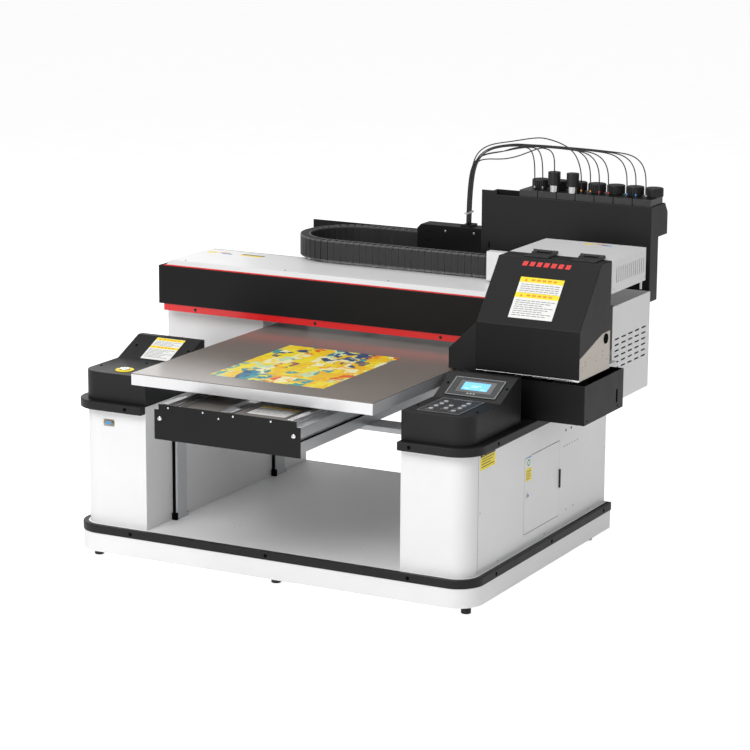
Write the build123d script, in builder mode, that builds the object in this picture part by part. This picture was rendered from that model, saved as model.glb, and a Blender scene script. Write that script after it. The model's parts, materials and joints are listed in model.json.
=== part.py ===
from build123d import *

import os
from math import atan2, cos, degrees, hypot, pi, sin, tan

# Flatbed UV printer: a table on linear rails passes under a gantry, along which a
# hooded print carriage runs. X is across (right is +X), Y goes into the depth (the
# front faces -Y) and Z is up. The origin is on the floor under the base's centre.
# All sizes are in millimetres.

# ---- driving dimensions -------------------------------------------------------
BASE_WIDTH, BASE_DEPTH = 1140, 853
BASE_RADIUS = 70                       # the two front corners of plinth and band
PLINTH_BOTTOM, PLINTH_TOP, BAND_TOP = 24, 73, 94.5
FLOOR = 94                             # top of the floor plate

BAY_LEFT, BAY_RIGHT = -357, 367        # inner faces of the two side columns
COLUMN_OUT, COLUMN_FRONT, COLUMN_BACK = 550, -406.5, 424
COLUMN_RADIUS = 48
COLLAR_OUT, COLLAR_FRONT = 571, -429
COLLAR_BOTTOM, COLLAR_TOP = 398, 420
SHEET = 2.5                            # folded sheet steel

DECK, HOUSING_TOP = 493, 538           # desk-shaped housings over the columns
SLOPE_FRONT, SLOPE_BACK, HOUSING_BACK = -236, -137, -118
SLOPE_ANGLE = degrees(atan2(HOUSING_TOP - DECK, SLOPE_BACK - SLOPE_FRONT))

TABLE_LEFT, TABLE_RIGHT, TABLE_FRONT, TABLE_BACK = -333, 343, -507, 393
TABLE_BOTTOM, TABLE_TOP = 497, 527
TABLE_MID_X, TABLE_MID_Y = (TABLE_LEFT + TABLE_RIGHT) / 2, (TABLE_FRONT + TABLE_BACK) / 2
BEAM_HALF, BEAM_WIDTH, BEAM_LENGTH = 203, 40, 1224   # the two Y beams under the table
BEAM_BOTTOM, BEAM_TOP = 410, 474
RAIL_HALF, RAIL_HEIGHT = 173, 15       # table rails, either side of TABLE_MID_X
SCREW_X, SCREW_Z, SCREW_RADIUS = -40, 450, 10

UPRIGHT_OUT, UPRIGHT_FRONT, UPRIGHT_BACK, UPRIGHT_TOP = 660, 186, 434, 671
SHELF = 560                            # the gantry beam stands on this shelf
COVER_FRONT = 140                      # front face of the gantry's black cover

HOOD_LEFT, HOOD_RIGHT, HOOD_FRONT, HOOD_BACK = 409, 688, -85, 105
HOOD_TOP, HOOD_CREASE = 805, 657
REAR_BOX_BACK, REAR_BOX_BOTTOM = 328, 720

TRAY_LEFT, TRAY_RIGHT, TRAY_FRONT, TRAY_BACK, TRAY_TOP = 372, 697, -67, 178, 520

CABINET_LEFT, CABINET_RIGHT, CABINET_FRONT = 172, 657, 434
TANK_PITCH, TANK_COUNT, TANK_TOP = 53.7, 7, 908
TANK_FIRST = CABINET_RIGHT - 3 - TANK_PITCH * TANK_COUNT

CHAIN_BOTTOM, CHAIN_HEIGHT, CHAIN_THICK = 686, 57, 28
CHAIN_FRONT, CHAIN_RADIUS = 332, 145   # outer face of the front run, outer bend radius
CHAIN_BEND_X, CHAIN_END_X = -240, 252
LINK_PITCH = 20

os.makedirs("parts", exist_ok=True)


# ---- small helpers ------------------------------------------------------------
def slab(x0, x1, y0, y1, z0, z1, mode=Mode.ADD):
    """Box between two corners, in the current part."""
    with Locations(((x0 + x1) / 2, (y0 + y1) / 2, (z0 + z1) / 2)):
        Box(x1 - x0, y1 - y0, z1 - z0, mode=mode)


def plan(x0, x1, y0, y1, left=0, right=0):
    """Plan outline in the current sketch; left and right round its front corners."""
    with BuildLine() as outline:
        Line((x0 + left, y0), (x1 - right, y0))
        if right:
            JernArc((x1 - right, y0), (1, 0), right, 90)
        Polyline((x1, y0 + right), (x1, y1), (x0, y1), (x0, y0 + left))
        if left:
            JernArc((x0, y0 + left), (0, -1), left, 90)
    make_face(outline.edges())


def profile_yz(points, x0, x1, mode=Mode.ADD):
    """Side profile of (y, z) points, extruded from x0 to x1."""
    with BuildSketch(Plane.YZ.offset(x0)) as outline:
        with BuildLine():
            Polyline(*points, close=True)
        make_face()
    extrude(outline.sketch, amount=x1 - x0, mode=mode)


def rod_along(axis_plane, at, radius, length, mode=Mode.ADD):
    """Round bar that starts on a plane at a point of it and runs along its normal."""
    with BuildSketch(axis_plane) as section:
        with Locations(at):
            Circle(radius)
    extrude(section.sketch, amount=length, mode=mode)


def desk_block(x0, x1, left, right, inset):
    """Block over a column with a flat deck, a slope and a narrow flat top."""
    with BuildSketch(Plane.XY.offset(COLLAR_TOP)) as footprint:
        plan(
            x0 + inset, x1 - inset, COLUMN_FRONT + inset, HOUSING_BACK - inset,
            max(left - inset, 0), max(right - inset, 0),
        )
    extrude(footprint.sketch, amount=HOUSING_TOP - COLLAR_TOP)
    drop = inset * 1.1
    profile = [
        (COLUMN_FRONT, COLLAR_TOP), (COLUMN_FRONT, DECK - drop), (SLOPE_FRONT, DECK - drop),
        (SLOPE_BACK, HOUSING_TOP - drop), (HOUSING_BACK, HOUSING_TOP - drop),
        (HOUSING_BACK, COLLAR_TOP),
    ]
    profile_yz(profile, x0, x1, mode=Mode.INTERSECT)


# ---- base ---------------------------------------------------------------------
HALF_W, HALF_D = BASE_WIDTH / 2, BASE_DEPTH / 2

with BuildPart() as base_plinth:
    with BuildSketch(Plane.XY.offset(PLINTH_BOTTOM)):
        plan(2 - HALF_W, HALF_W - 2, 2 - HALF_D, HALF_D - 2, BASE_RADIUS - 2, BASE_RADIUS - 2)
    extrude(amount=PLINTH_TOP - PLINTH_BOTTOM)
    with BuildSketch(Plane.XY.offset(PLINTH_BOTTOM + 3)):
        plan(5 - HALF_W, HALF_W - 5, 5 - HALF_D, HALF_D - 5, BASE_RADIUS - 5, BASE_RADIUS - 5)
    extrude(amount=PLINTH_TOP - PLINTH_BOTTOM, mode=Mode.SUBTRACT)
base_plinth.part.label = "base_plinth"
export_step(base_plinth.part, "parts/base_plinth.step")

BAND_WALL = 14
with BuildPart() as base_trim_band:
    with BuildSketch(Plane.XY.offset(PLINTH_TOP)):
        plan(-HALF_W, HALF_W, -HALF_D, HALF_D, BASE_RADIUS, BASE_RADIUS)
    extrude(amount=BAND_TOP - PLINTH_TOP)
    with BuildSketch(Plane.XY.offset(PLINTH_TOP)):
        plan(
            BAND_WALL - HALF_W, HALF_W - BAND_WALL, BAND_WALL - HALF_D, HALF_D - 2,
            BASE_RADIUS - BAND_WALL, BASE_RADIUS - BAND_WALL,
        )
    extrude(amount=BAND_TOP - PLINTH_TOP, mode=Mode.SUBTRACT)
base_trim_band.part.label = "base_trim_band"
export_step(base_trim_band.part, "parts/base_trim_band.step")

with BuildPart() as floor_plate:
    with BuildSketch(Plane.XY.offset(PLINTH_TOP)):
        plan(
            BAND_WALL - HALF_W, HALF_W - BAND_WALL, BAND_WALL - HALF_D, HALF_D - 2,
            BASE_RADIUS - BAND_WALL, BASE_RADIUS - BAND_WALL,
        )
    extrude(amount=FLOOR - PLINTH_TOP)
    slab(16 - HALF_W, HALF_W - 16, BASE_RADIUS - HALF_D, HALF_D - 5, PLINTH_TOP, FLOOR - 3,
         mode=Mode.SUBTRACT)
floor_plate.part.label = "floor_plate"
export_step(floor_plate.part, "parts/floor_plate.step")

FOOT_RADIUS, FOOT_PAD = 12.5, 14
FOOT_X, FOOT_Y = 528, 368
with BuildPart() as levelling_feet:
    spots = [(x, y) for x in (-FOOT_X, 0, FOOT_X) for y in (-FOOT_Y, FOOT_Y)] + [(0, 0)]
    with Locations(*spots):
        Cylinder(FOOT_RADIUS, FOOT_PAD, align=(Align.CENTER, Align.CENTER, Align.MIN))
        Cylinder(6, PLINTH_BOTTOM, align=(Align.CENTER, Align.CENTER, Align.MIN))
levelling_feet.part.label = "levelling_feet"
export_step(levelling_feet.part, "parts/levelling_feet.step")

# ---- side columns, collars and housings ---------------------------------------
COLUMN_HEIGHT = COLLAR_TOP - 4 - FLOOR

with BuildPart() as left_column:
    with BuildSketch(Plane.XY.offset(FLOOR)):
        plan(-COLUMN_OUT, BAY_LEFT, COLUMN_FRONT, COLUMN_BACK, COLUMN_RADIUS)
    extrude(amount=COLUMN_HEIGHT)
    with BuildSketch(Plane.XY.offset(FLOOR)):
        plan(
            SHEET - COLUMN_OUT, BAY_LEFT - SHEET, COLUMN_FRONT + SHEET, COLUMN_BACK - SHEET,
            COLUMN_RADIUS - SHEET,
        )
    extrude(amount=COLUMN_HEIGHT, mode=Mode.SUBTRACT)
    # recess of the data socket in the front wall
    slab(-483, -451, COLUMN_FRONT - 1, COLUMN_FRONT + 1.5, 355, 373, mode=Mode.SUBTRACT)
left_column.part.label = "left_column"

DOOR_Y0, DOOR_Y1, DOOR_Z0, DOOR_Z1 = -90.5, 125, 127.5, 326.5
with BuildPart() as right_column:
    with BuildSketch(Plane.XY.offset(FLOOR)):
        plan(BAY_RIGHT, COLUMN_OUT, COLUMN_FRONT, COLUMN_BACK, 0, COLUMN_RADIUS)
    extrude(amount=COLUMN_HEIGHT)
    with BuildSketch(Plane.XY.offset(FLOOR)):
        plan(
            BAY_RIGHT + SHEET, COLUMN_OUT - SHEET, COLUMN_FRONT + SHEET, COLUMN_BACK - SHEET,
            0, COLUMN_RADIUS - SHEET,
        )
    extrude(amount=COLUMN_HEIGHT, mode=Mode.SUBTRACT)
    with BuildSketch(Plane.YZ.offset(COLUMN_OUT - 5)):
        with Locations(((DOOR_Y0 + DOOR_Y1) / 2, (DOOR_Z0 + DOOR_Z1) / 2)):
            RectangleRounded(DOOR_Y1 - DOOR_Y0, DOOR_Z1 - DOOR_Z0, 6)
    extrude(amount=10, mode=Mode.SUBTRACT)
right_column.part.label = "right_column"

# service door in the right column, hinged along its rear edge
DOOR_GAP, HINGE_X, HINGE_Y = 1.5, COLUMN_OUT + 2, DOOR_Y1 - 3
LOCK_Y, LOCK_Z, LOCK_RADIUS = -71, 226, 7
with BuildPart() as side_door:
    with BuildSketch(Plane.YZ.offset(COLUMN_OUT - 2)):
        with Locations(((DOOR_Y0 + DOOR_Y1) / 2, (DOOR_Z0 + DOOR_Z1) / 2)):
            RectangleRounded(
                DOOR_Y1 - DOOR_Y0 - 2 * DOOR_GAP, DOOR_Z1 - DOOR_Z0 - 2 * DOOR_GAP, 5
            )
    extrude(amount=2)
    # stiffening frame behind the panel
    slab(COLUMN_OUT - 12, COLUMN_OUT - 2, DOOR_Y0 + 40, DOOR_Y1 - 14, DOOR_Z0 + 14, DOOR_Z1 - 14)
    slab(COLUMN_OUT - 12, COLUMN_OUT - 2, DOOR_Y0 + 43, DOOR_Y1 - 17, DOOR_Z0 + 17, DOOR_Z1 - 17,
         mode=Mode.SUBTRACT)
    # hinge knuckle on the rear edge, and the hole of the cam lock
    rod_along(Plane.XY.offset(203), (HINGE_X, HINGE_Y), 2.8, 48)
    rod_along(Plane.YZ.offset(COLUMN_OUT - 3), (LOCK_Y, LOCK_Z), LOCK_RADIUS + 0.4, 5,
              mode=Mode.SUBTRACT)
side_door.part.label = "side_door"

with BuildPart() as door_lock:
    rod_along(Plane.YZ.offset(COLUMN_OUT - 9), (LOCK_Y, LOCK_Z), LOCK_RADIUS, 11)
    # cam lever: upright while unlocked, behind the column's wall when turned
    slab(COLUMN_OUT - 9, COLUMN_OUT - 6, LOCK_Y - 6, LOCK_Y + 6, LOCK_Z - 6, LOCK_Z + 26)
door_lock.part.label = "door_lock"

with BuildPart() as side_collars:
    for x0, x1, left, right in (
        (-COLLAR_OUT, BAY_LEFT, COLUMN_RADIUS + 24, 0),
        (BAY_RIGHT, COLLAR_OUT, 0, COLUMN_RADIUS + 24),
    ):
        with BuildSketch(Plane.XY.offset(COLLAR_BOTTOM)):
            plan(x0, x1, COLLAR_FRONT, COLUMN_BACK, left, right)
        extrude(amount=COLLAR_TOP - COLLAR_BOTTOM)
    with BuildSketch(Plane.XY.offset(COLLAR_BOTTOM)):
        plan(-COLUMN_OUT, BAY_LEFT, COLUMN_FRONT, COLUMN_BACK, COLUMN_RADIUS)
    extrude(amount=COLLAR_TOP - 4 - COLLAR_BOTTOM, mode=Mode.SUBTRACT)
    with BuildSketch(Plane.XY.offset(COLLAR_BOTTOM)):
        plan(BAY_RIGHT, COLUMN_OUT, COLUMN_FRONT, COLUMN_BACK, 0, COLUMN_RADIUS)
    extrude(amount=COLLAR_TOP - 4 - COLLAR_BOTTOM, mode=Mode.SUBTRACT)
side_collars.part.label = "side_collars"

HOUSING_RADIUS, HOUSING_WALL = 45, 3
BUTTON_X, BUTTON_Y, BUTTON_RADIUS = -450, -356, 13
with BuildPart() as left_cavity:
    desk_block(-COLUMN_OUT, BAY_LEFT, HOUSING_RADIUS, 0, HOUSING_WALL)
with BuildPart() as left_housing:
    desk_block(-COLUMN_OUT, BAY_LEFT, HOUSING_RADIUS, 0, 0)
    add(left_cavity.part, mode=Mode.SUBTRACT)
    rod_along(Plane.XY.offset(DECK - 6), (BUTTON_X, BUTTON_Y), BUTTON_RADIUS + 0.5, 8,
              mode=Mode.SUBTRACT)
left_housing.part.label = "left_housing"

with BuildPart() as power_button:
    rod_along(Plane.XY.offset(DECK - 10), (BUTTON_X, BUTTON_Y), BUTTON_RADIUS, 15)
    rod_along(Plane.XY.offset(DECK - 12), (BUTTON_X, BUTTON_Y), BUTTON_RADIUS + 3, 4)
    fillet(power_button.edges().group_by(Axis.Z)[-1], 1.5)
power_button.part.label = "power_button"

with BuildPart() as right_cavity:
    desk_block(BAY_RIGHT, COLUMN_OUT, 0, HOUSING_RADIUS, HOUSING_WALL)
with BuildPart() as console_housing:
    desk_block(BAY_RIGHT, COLUMN_OUT, 0, HOUSING_RADIUS, 0)
    add(right_cavity.part, mode=Mode.SUBTRACT)
console_housing.part.label = "console_housing"

# the console's slope, with x across and y up the slope
CONSOLE_X = 459.5
slope = Plane(
    origin=(CONSOLE_X, (SLOPE_FRONT + SLOPE_BACK) / 2, (DECK + HOUSING_TOP) / 2),
    x_dir=(1, 0, 0),
    z_dir=(0, -sin(SLOPE_ANGLE * pi / 180), cos(SLOPE_ANGLE * pi / 180)),
)
SCREEN_WIDTH, SCREEN_HEIGHT = 97, 49
with BuildPart() as control_overlays:
    with BuildSketch(slope):
        with Locations((0.5, -3.5)):
            RectangleRounded(139, 76, 4)
        Rectangle(SCREEN_WIDTH, SCREEN_HEIGHT, mode=Mode.SUBTRACT)
    extrude(amount=2)
    with BuildSketch(Plane.XY.offset(DECK)):
        with Locations((CONSOLE_X - 5.5, -313.5)):
            RectangleRounded(116, 152, 5)
    extrude(amount=1)
control_overlays.part.label = "control_overlays"

with BuildPart() as lcd_screen:
    with BuildSketch(slope):
        Rectangle(SCREEN_WIDTH, SCREEN_HEIGHT)
    extrude(amount=1.2)
lcd_screen.part.label = "lcd_screen"

# ---- support frame and table slide --------------------------------------------
with BuildPart() as support_frame:
    for y0, y1 in ((-278, -208), (235, 305)):
        slab(BAY_LEFT + 12, BAY_RIGHT - 12, y0, y1, BEAM_BOTTOM - 13, BEAM_BOTTOM)
        for x0 in (BAY_LEFT, BAY_RIGHT - 12):
            slab(x0, x0 + 12, y0, y0 + 46, FLOOR + 10, BEAM_BOTTOM)
            slab(x0, x0 + 12, y0 - 8, y0 + 54, FLOOR, FLOOR + 10)
support_frame.part.label = "support_frame"

BEAM_FRONT = -BEAM_LENGTH / 2
with BuildPart() as rail_beams:
    for side in (-1, 1):
        outer = TABLE_MID_X + side * BEAM_HALF
        inner = outer - side * BEAM_WIDTH
        x0, x1 = min(outer, inner), max(outer, inner)
        slab(x0, x1, BEAM_FRONT, -BEAM_FRONT, BEAM_BOTTOM, BEAM_TOP)
        # T-slot along the outer face and a hollow core
        slab(min(outer, outer - side * 8), max(outer, outer - side * 8), BEAM_FRONT, -BEAM_FRONT,
             438, 448, mode=Mode.SUBTRACT)
        slab(x0 + 12, x1 - 12, BEAM_FRONT, -BEAM_FRONT, BEAM_BOTTOM + 6, 434, mode=Mode.SUBTRACT)
        slab(x0 + 12, x1 - 12, BEAM_FRONT, -BEAM_FRONT, 452, BEAM_TOP - 6, mode=Mode.SUBTRACT)
    # deck plates between the beams, either side of the screw
    slab(TABLE_MID_X - BEAM_HALF + BEAM_WIDTH, SCREW_X - 22, BEAM_FRONT, -BEAM_FRONT, 464, 468)
    slab(SCREW_X + 22, TABLE_MID_X + BEAM_HALF - BEAM_WIDTH, BEAM_FRONT, -BEAM_FRONT, 464, 468)
rail_beams.part.label = "rail_beams"

PANEL = 3
with BuildPart() as beam_end_panels:
    for y0 in (BEAM_FRONT - PANEL, -BEAM_FRONT):
        left, right = TABLE_MID_X - BEAM_HALF, TABLE_MID_X + BEAM_HALF
        slab(left, right, y0, y0 + PANEL, 399, 473.5)
        slab(left + 12, right - 11, y0, y0 + PANEL, 473, 487)
    # the drive motor's shaft passes through the rear panel
    rod_along(Plane.XZ.offset(BEAM_FRONT - 10), (SCREW_X, SCREW_Z), 16, 20, mode=Mode.SUBTRACT)
beam_end_panels.part.label = "beam_end_panels"

CARRIAGE_RAIL_Z = 609
with BuildPart() as linear_rails:
    for side in (-1, 1):
        rail_x = TABLE_MID_X + side * RAIL_HALF
        slab(rail_x - 9, rail_x + 9, BEAM_FRONT + 1, -BEAM_FRONT - 1, BEAM_TOP,
             BEAM_TOP + RAIL_HEIGHT)
        for flank in (-1, 1):
            slab(rail_x + flank * 9 - 2, rail_x + flank * 9 + 2, BEAM_FRONT + 1, -BEAM_FRONT - 1,
                 BEAM_TOP + 5, BEAM_TOP + 10, mode=Mode.SUBTRACT)
    # carriage rail on the front of the gantry beam
    slab(-642, 652, 186, 200, CARRIAGE_RAIL_Z - 9, CARRIAGE_RAIL_Z + 9)
linear_rails.part.label = "linear_rails"

RUN = 0.5                              # clearance between a rail and its block
BLOCK_REACH = 200                      # blocks in front of and behind the table's middle
with BuildPart() as table_bearings:
    for side in (-1, 1):
        rail_x = TABLE_MID_X + side * RAIL_HALF
        for y in (TABLE_MID_Y - BLOCK_REACH, TABLE_MID_Y + BLOCK_REACH):
            slab(rail_x - 24, rail_x + 24, y - 35, y + 35, BEAM_TOP + 3, TABLE_BOTTOM)
            slab(rail_x - 9 - RUN, rail_x + 9 + RUN, y - 36, y + 36, BEAM_TOP,
                 BEAM_TOP + RAIL_HEIGHT + RUN, mode=Mode.SUBTRACT)
    # nut bracket on the screw
    slab(SCREW_X - 18, SCREW_X + 18, TABLE_MID_Y - 30, TABLE_MID_Y + 30, SCREW_Z - 16,
         TABLE_BOTTOM)
    rod_along(Plane.XZ.offset(-TABLE_MID_Y - 40), (SCREW_X, SCREW_Z), SCREW_RADIUS + 0.6, 80,
              mode=Mode.SUBTRACT)
table_bearings.part.label = "table_bearings"

TOP_SHEET = 2
with BuildPart() as print_table:
    slab(TABLE_LEFT, TABLE_RIGHT, TABLE_FRONT, TABLE_BACK, TABLE_BOTTOM, TABLE_TOP - TOP_SHEET)
    # closed hollows, leaving ribs over the rails, the nut and across
    third = (TABLE_BACK - TABLE_FRONT) / 3
    for x0, x1 in ((-325, -200), (-136, -62), (-18, 146), (210, 335)):
        for row in range(3):
            slab(x0, x1, TABLE_FRONT + row * third + 8, TABLE_FRONT + (row + 1) * third - 8,
                 TABLE_BOTTOM + 5, TABLE_TOP - 8, mode=Mode.SUBTRACT)
print_table.part.label = "print_table"

with BuildPart() as table_top_sheet:
    slab(TABLE_LEFT, TABLE_RIGHT, TABLE_FRONT, TABLE_BACK, TABLE_TOP - TOP_SHEET, TABLE_TOP)
table_top_sheet.part.label = "table_top_sheet"

with BuildPart() as table_screw:
    rod_along(Plane.XZ.offset(-620), (SCREW_X, SCREW_Z), SCREW_RADIUS, 1224)
table_screw.part.label = "table_screw"

with BuildPart() as screw_supports:
    for y0 in (-606, 574):
        slab(SCREW_X - 20, SCREW_X + 20, y0, y0 + 26, BEAM_BOTTOM + 4, 463.5)
        rod_along(Plane.XZ.offset(-y0 - 30), (SCREW_X, SCREW_Z), SCREW_RADIUS + 0.6, 40,
                  mode=Mode.SUBTRACT)
    # drive motor behind the rear panel
    slab(SCREW_X - 28, SCREW_X + 28, 624, 690, SCREW_Z - 28, SCREW_Z + 28)
    slab(SCREW_X - 20, SCREW_X + 20, 615, 624, SCREW_Z - 20, SCREW_Z - 17)
screw_supports.part.label = "screw_supports"

# ---- uprights and gantry -------------------------------------------------------
def upright(x_inner, x_outer):
    """Open-topped sheet box: low inner and front walls, full outer and rear walls."""
    side = 1 if x_outer > x_inner else -1
    x0, x1 = min(x_inner, x_outer), max(x_inner, x_outer)
    slab(x0, x1, UPRIGHT_FRONT, UPRIGHT_BACK, COLLAR_TOP, UPRIGHT_TOP)
    slab(x0 + SHEET, x1 - SHEET, UPRIGHT_FRONT + SHEET, UPRIGHT_BACK - SHEET,
         COLLAR_TOP + 3, SHELF - 4, mode=Mode.SUBTRACT)
    slab(min(x_inner, x_outer - side * SHEET), max(x_inner, x_outer - side * SHEET),
         UPRIGHT_FRONT, UPRIGHT_BACK - SHEET, SHELF, UPRIGHT_TOP, mode=Mode.SUBTRACT)


with BuildPart() as left_upright:
    upright(BAY_LEFT - 0.5, -UPRIGHT_OUT)
left_upright.part.label = "left_upright"

with BuildPart() as right_upright:
    upright(BAY_RIGHT + 1, UPRIGHT_OUT)
    # vent: rows of short level slots in the outer wall
    with BuildSketch(Plane.YZ.offset(UPRIGHT_OUT - 5)):
        with Locations((307, 546)):
            with GridLocations(44.4, 15, 5, 6):
                SlotOverall(30, 4.5)
    extrude(amount=10, mode=Mode.SUBTRACT)
right_upright.part.label = "right_upright"

with BuildPart() as gantry_beam:
    slab(-650, 655, 200, 300, SHELF, SHELF + 92)
    slab(-651, 656, 206, 294, SHELF + 6, SHELF + 86, mode=Mode.SUBTRACT)
gantry_beam.part.label = "gantry_beam"

with BuildPart() as gantry_front_cover:
    slab(-UPRIGHT_OUT, UPRIGHT_OUT, COVER_FRONT, COVER_FRONT + 3, 563.5, 669)
    for x0 in (-UPRIGHT_OUT, UPRIGHT_OUT - SHEET):
        slab(x0, x0 + SHEET, COVER_FRONT + 3, UPRIGHT_FRONT, 563.5, 669)
gantry_front_cover.part.label = "gantry_front_cover"

with BuildPart() as gantry_red_panel:
    slab(-646, 646, COVER_FRONT + 3, COVER_FRONT + 6, 545, 672)
gantry_red_panel.part.label = "gantry_red_panel"

with BuildPart() as gantry_top_cover:
    cover = [
        (COVER_FRONT + 6, 671.5), (172, 680), (376, 680), (376, 654),
        (373.5, 654), (373.5, 677.5), (172.4, 677.5), (COVER_FRONT + 6, 669),
    ]
    profile_yz(cover, -640, 560)
gantry_top_cover.part.label = "gantry_top_cover"

# ---- print carriage ------------------------------------------------------------
HEAD_X = (478, 548, 618)
with BuildPart() as carriage_frame:
    # base plate under the gantry, with a window for each head
    slab(412, 685, -79, 158, 533, 541)
    for x in HEAD_X:
        slab(x - 26, x + 26, -46, 66, 530, 545, mode=Mode.SUBTRACT)
    # rear arm, bearing block on the rail and the back plate inside the hood
    slab(430, 650, 150, 158, 541, 640)
    slab(500, 600, 158, 197, 585, 633)
    slab(499, 601, 186 - RUN, 200, CARRIAGE_RAIL_Z - 9 - RUN, CARRIAGE_RAIL_Z + 9 + RUN,
         mode=Mode.SUBTRACT)
    slab(415, 682, 92, 100, 541, 799)
    slab(430, 666, 100, 107, 724, 796)
carriage_frame.part.label = "carriage_frame"

with BuildPart() as print_heads:
    for x in HEAD_X:
        slab(x - 25, x + 25, -45, 65, 530.5, 600)
        slab(x - 18, x + 18, -30, 50, 600, 640)
print_heads.part.label = "print_heads"

cheek = [
    (HOOD_FRONT, 590), (HOOD_FRONT, HOOD_CREASE), (41, HOOD_TOP), (HOOD_BACK, HOOD_TOP),
    (HOOD_BACK, 630), (59, 630),
]
HOOD_WALL = 3
with BuildPart() as hood_cover:
    profile_yz(cheek, HOOD_LEFT, HOOD_RIGHT)
    inside = [
        (HOOD_FRONT + 3, 500), (HOOD_FRONT + 3, HOOD_CREASE - 1.2), (42.4, HOOD_TOP - 3),
        (HOOD_BACK + 9, HOOD_TOP - 3), (HOOD_BACK + 9, 500),
    ]
    profile_yz(inside, HOOD_LEFT + HOOD_WALL, HOOD_RIGHT - HOOD_WALL, mode=Mode.SUBTRACT)
    slab(HOOD_LEFT, HOOD_RIGHT, HOOD_FRONT, HOOD_FRONT + 3, 537, 593)
hood_cover.part.label = "hood_cover"

# hinges between the hood's top strip and the rear box
HINGE_AXIS_Y, HINGE_AXIS_Z = 110.5, 811
with BuildPart() as hood_hinges:
    for x in (506, 634):
        slab(x - 33, x + 33, 50, HOOD_BACK - 1, HOOD_TOP, HOOD_TOP + 3)
        for k in (x - 33, x + 19):
            slab(k, k + 14, HOOD_BACK - 8, HINGE_AXIS_Y, HOOD_TOP + 3, HOOD_TOP + 6)
            rod_along(Plane.YZ.offset(k), (HINGE_AXIS_Y, HINGE_AXIS_Z), 4.5, 14)
            rod_along(Plane.YZ.offset(k - 1), (HINGE_AXIS_Y, HINGE_AXIS_Z), 2.5, 16,
                      mode=Mode.SUBTRACT)
hood_hinges.part.label = "hood_hinges"

with BuildPart() as hood_side_plates:
    skirt = [(HOOD_FRONT + 3.5, 533), (HOOD_FRONT + 3.5, 589), (58.5, 629), (HOOD_BACK, 629),
             (HOOD_BACK, 533)]
    profile_yz(skirt, HOOD_LEFT, HOOD_LEFT + HOOD_WALL)
    profile_yz(skirt, HOOD_RIGHT - HOOD_WALL, HOOD_RIGHT)
    # bright lip along the bottom front edge
    slab(HOOD_LEFT, HOOD_RIGHT, HOOD_FRONT - 0.5, HOOD_FRONT + 3.5, 532, 536.5)
hood_side_plates.part.label = "hood_side_plates"

with BuildPart() as rear_box:
    slab(HOOD_LEFT, HOOD_RIGHT, HOOD_BACK + 2, REAR_BOX_BACK, REAR_BOX_BOTTOM, HOOD_TOP)
    slab(HOOD_LEFT + SHEET, HOOD_RIGHT - SHEET, HOOD_BACK + 2 + SHEET, REAR_BOX_BACK - SHEET,
         REAR_BOX_BOTTOM + SHEET, HOOD_TOP - SHEET, mode=Mode.SUBTRACT)
    # louvre of upright slots in the right wall
    with BuildSketch(Plane.YZ.offset(HOOD_RIGHT - 5)):
        with Locations((226, 763)):
            with GridLocations(13.5, 1, 14, 1):
                SlotOverall(40, 4.5, rotation=90)
    extrude(amount=10, mode=Mode.SUBTRACT)
    # fixed hinge knuckles and pins
    for x in (506, 634):
        slab(x - 17, x + 17, HINGE_AXIS_Y, 124, HOOD_TOP, HOOD_TOP + 3)
        rod_along(Plane.YZ.offset(x - 17), (HINGE_AXIS_Y, HINGE_AXIS_Z), 4.5, 34)
        slab(x - 17, x + 17, HINGE_AXIS_Y, HINGE_AXIS_Y + 5, HOOD_TOP + 2, HINGE_AXIS_Z)
        rod_along(Plane.YZ.offset(x - 33), (HINGE_AXIS_Y, HINGE_AXIS_Z), 2.45, 66)
    # arm to the cable chain
    slab(254, HOOD_LEFT, 296, 320, 686, 762)
    slab(257, HOOD_LEFT + 1, 299, 321, 684, 759, mode=Mode.SUBTRACT)
    slab(254, 257, 320, CHAIN_FRONT + CHAIN_THICK, 686, 743)
    # spacer pin under the right rear corner
    rod_along(Plane.XY.offset(700), (684, 308), 3, 20)
rear_box.part.label = "rear_box"

with BuildPart() as uv_lamp:
    slab(333, HOOD_LEFT, HOOD_FRONT + 1, 70, 531, 583)
    with BuildSketch(Plane.XZ.offset(-HOOD_FRONT - 4)):
        with BuildLine():
            Polyline((333, 583), (HOOD_LEFT, 655), (HOOD_LEFT, 583), close=True)
        make_face()
    extrude(amount=3)
uv_lamp.part.label = "uv_lamp"

# ---- maintenance station --------------------------------------------------------
with BuildPart() as maintenance_tray:
    slab(TRAY_LEFT, TRAY_RIGHT, TRAY_FRONT, TRAY_BACK, COLLAR_TOP, TRAY_TOP)
    slab(TRAY_LEFT + 3, TRAY_RIGHT - 3, TRAY_FRONT + 3, TRAY_BACK - 3, COLLAR_TOP + 3, TRAY_TOP + 1,
         mode=Mode.SUBTRACT)
    with BuildSketch(Plane.YZ.offset(TRAY_RIGHT - 5)):
        with Locations((137, 457)):
            SlotOverall(36, 10, rotation=90)
    extrude(amount=10, mode=Mode.SUBTRACT)
maintenance_tray.part.label = "maintenance_tray"

CAP_DROP = 15
with BuildPart() as capping_station:
    slab(448, 648, -52, 72, COLLAR_TOP + 3 + CAP_DROP + 2, 512)
    for x in HEAD_X:
        slab(x - 21, x + 21, -40, 60, 512, 528.5)
        slab(x - 17, x + 17, -36, 56, 522, 529, mode=Mode.SUBTRACT)
capping_station.part.label = "capping_station"

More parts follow.
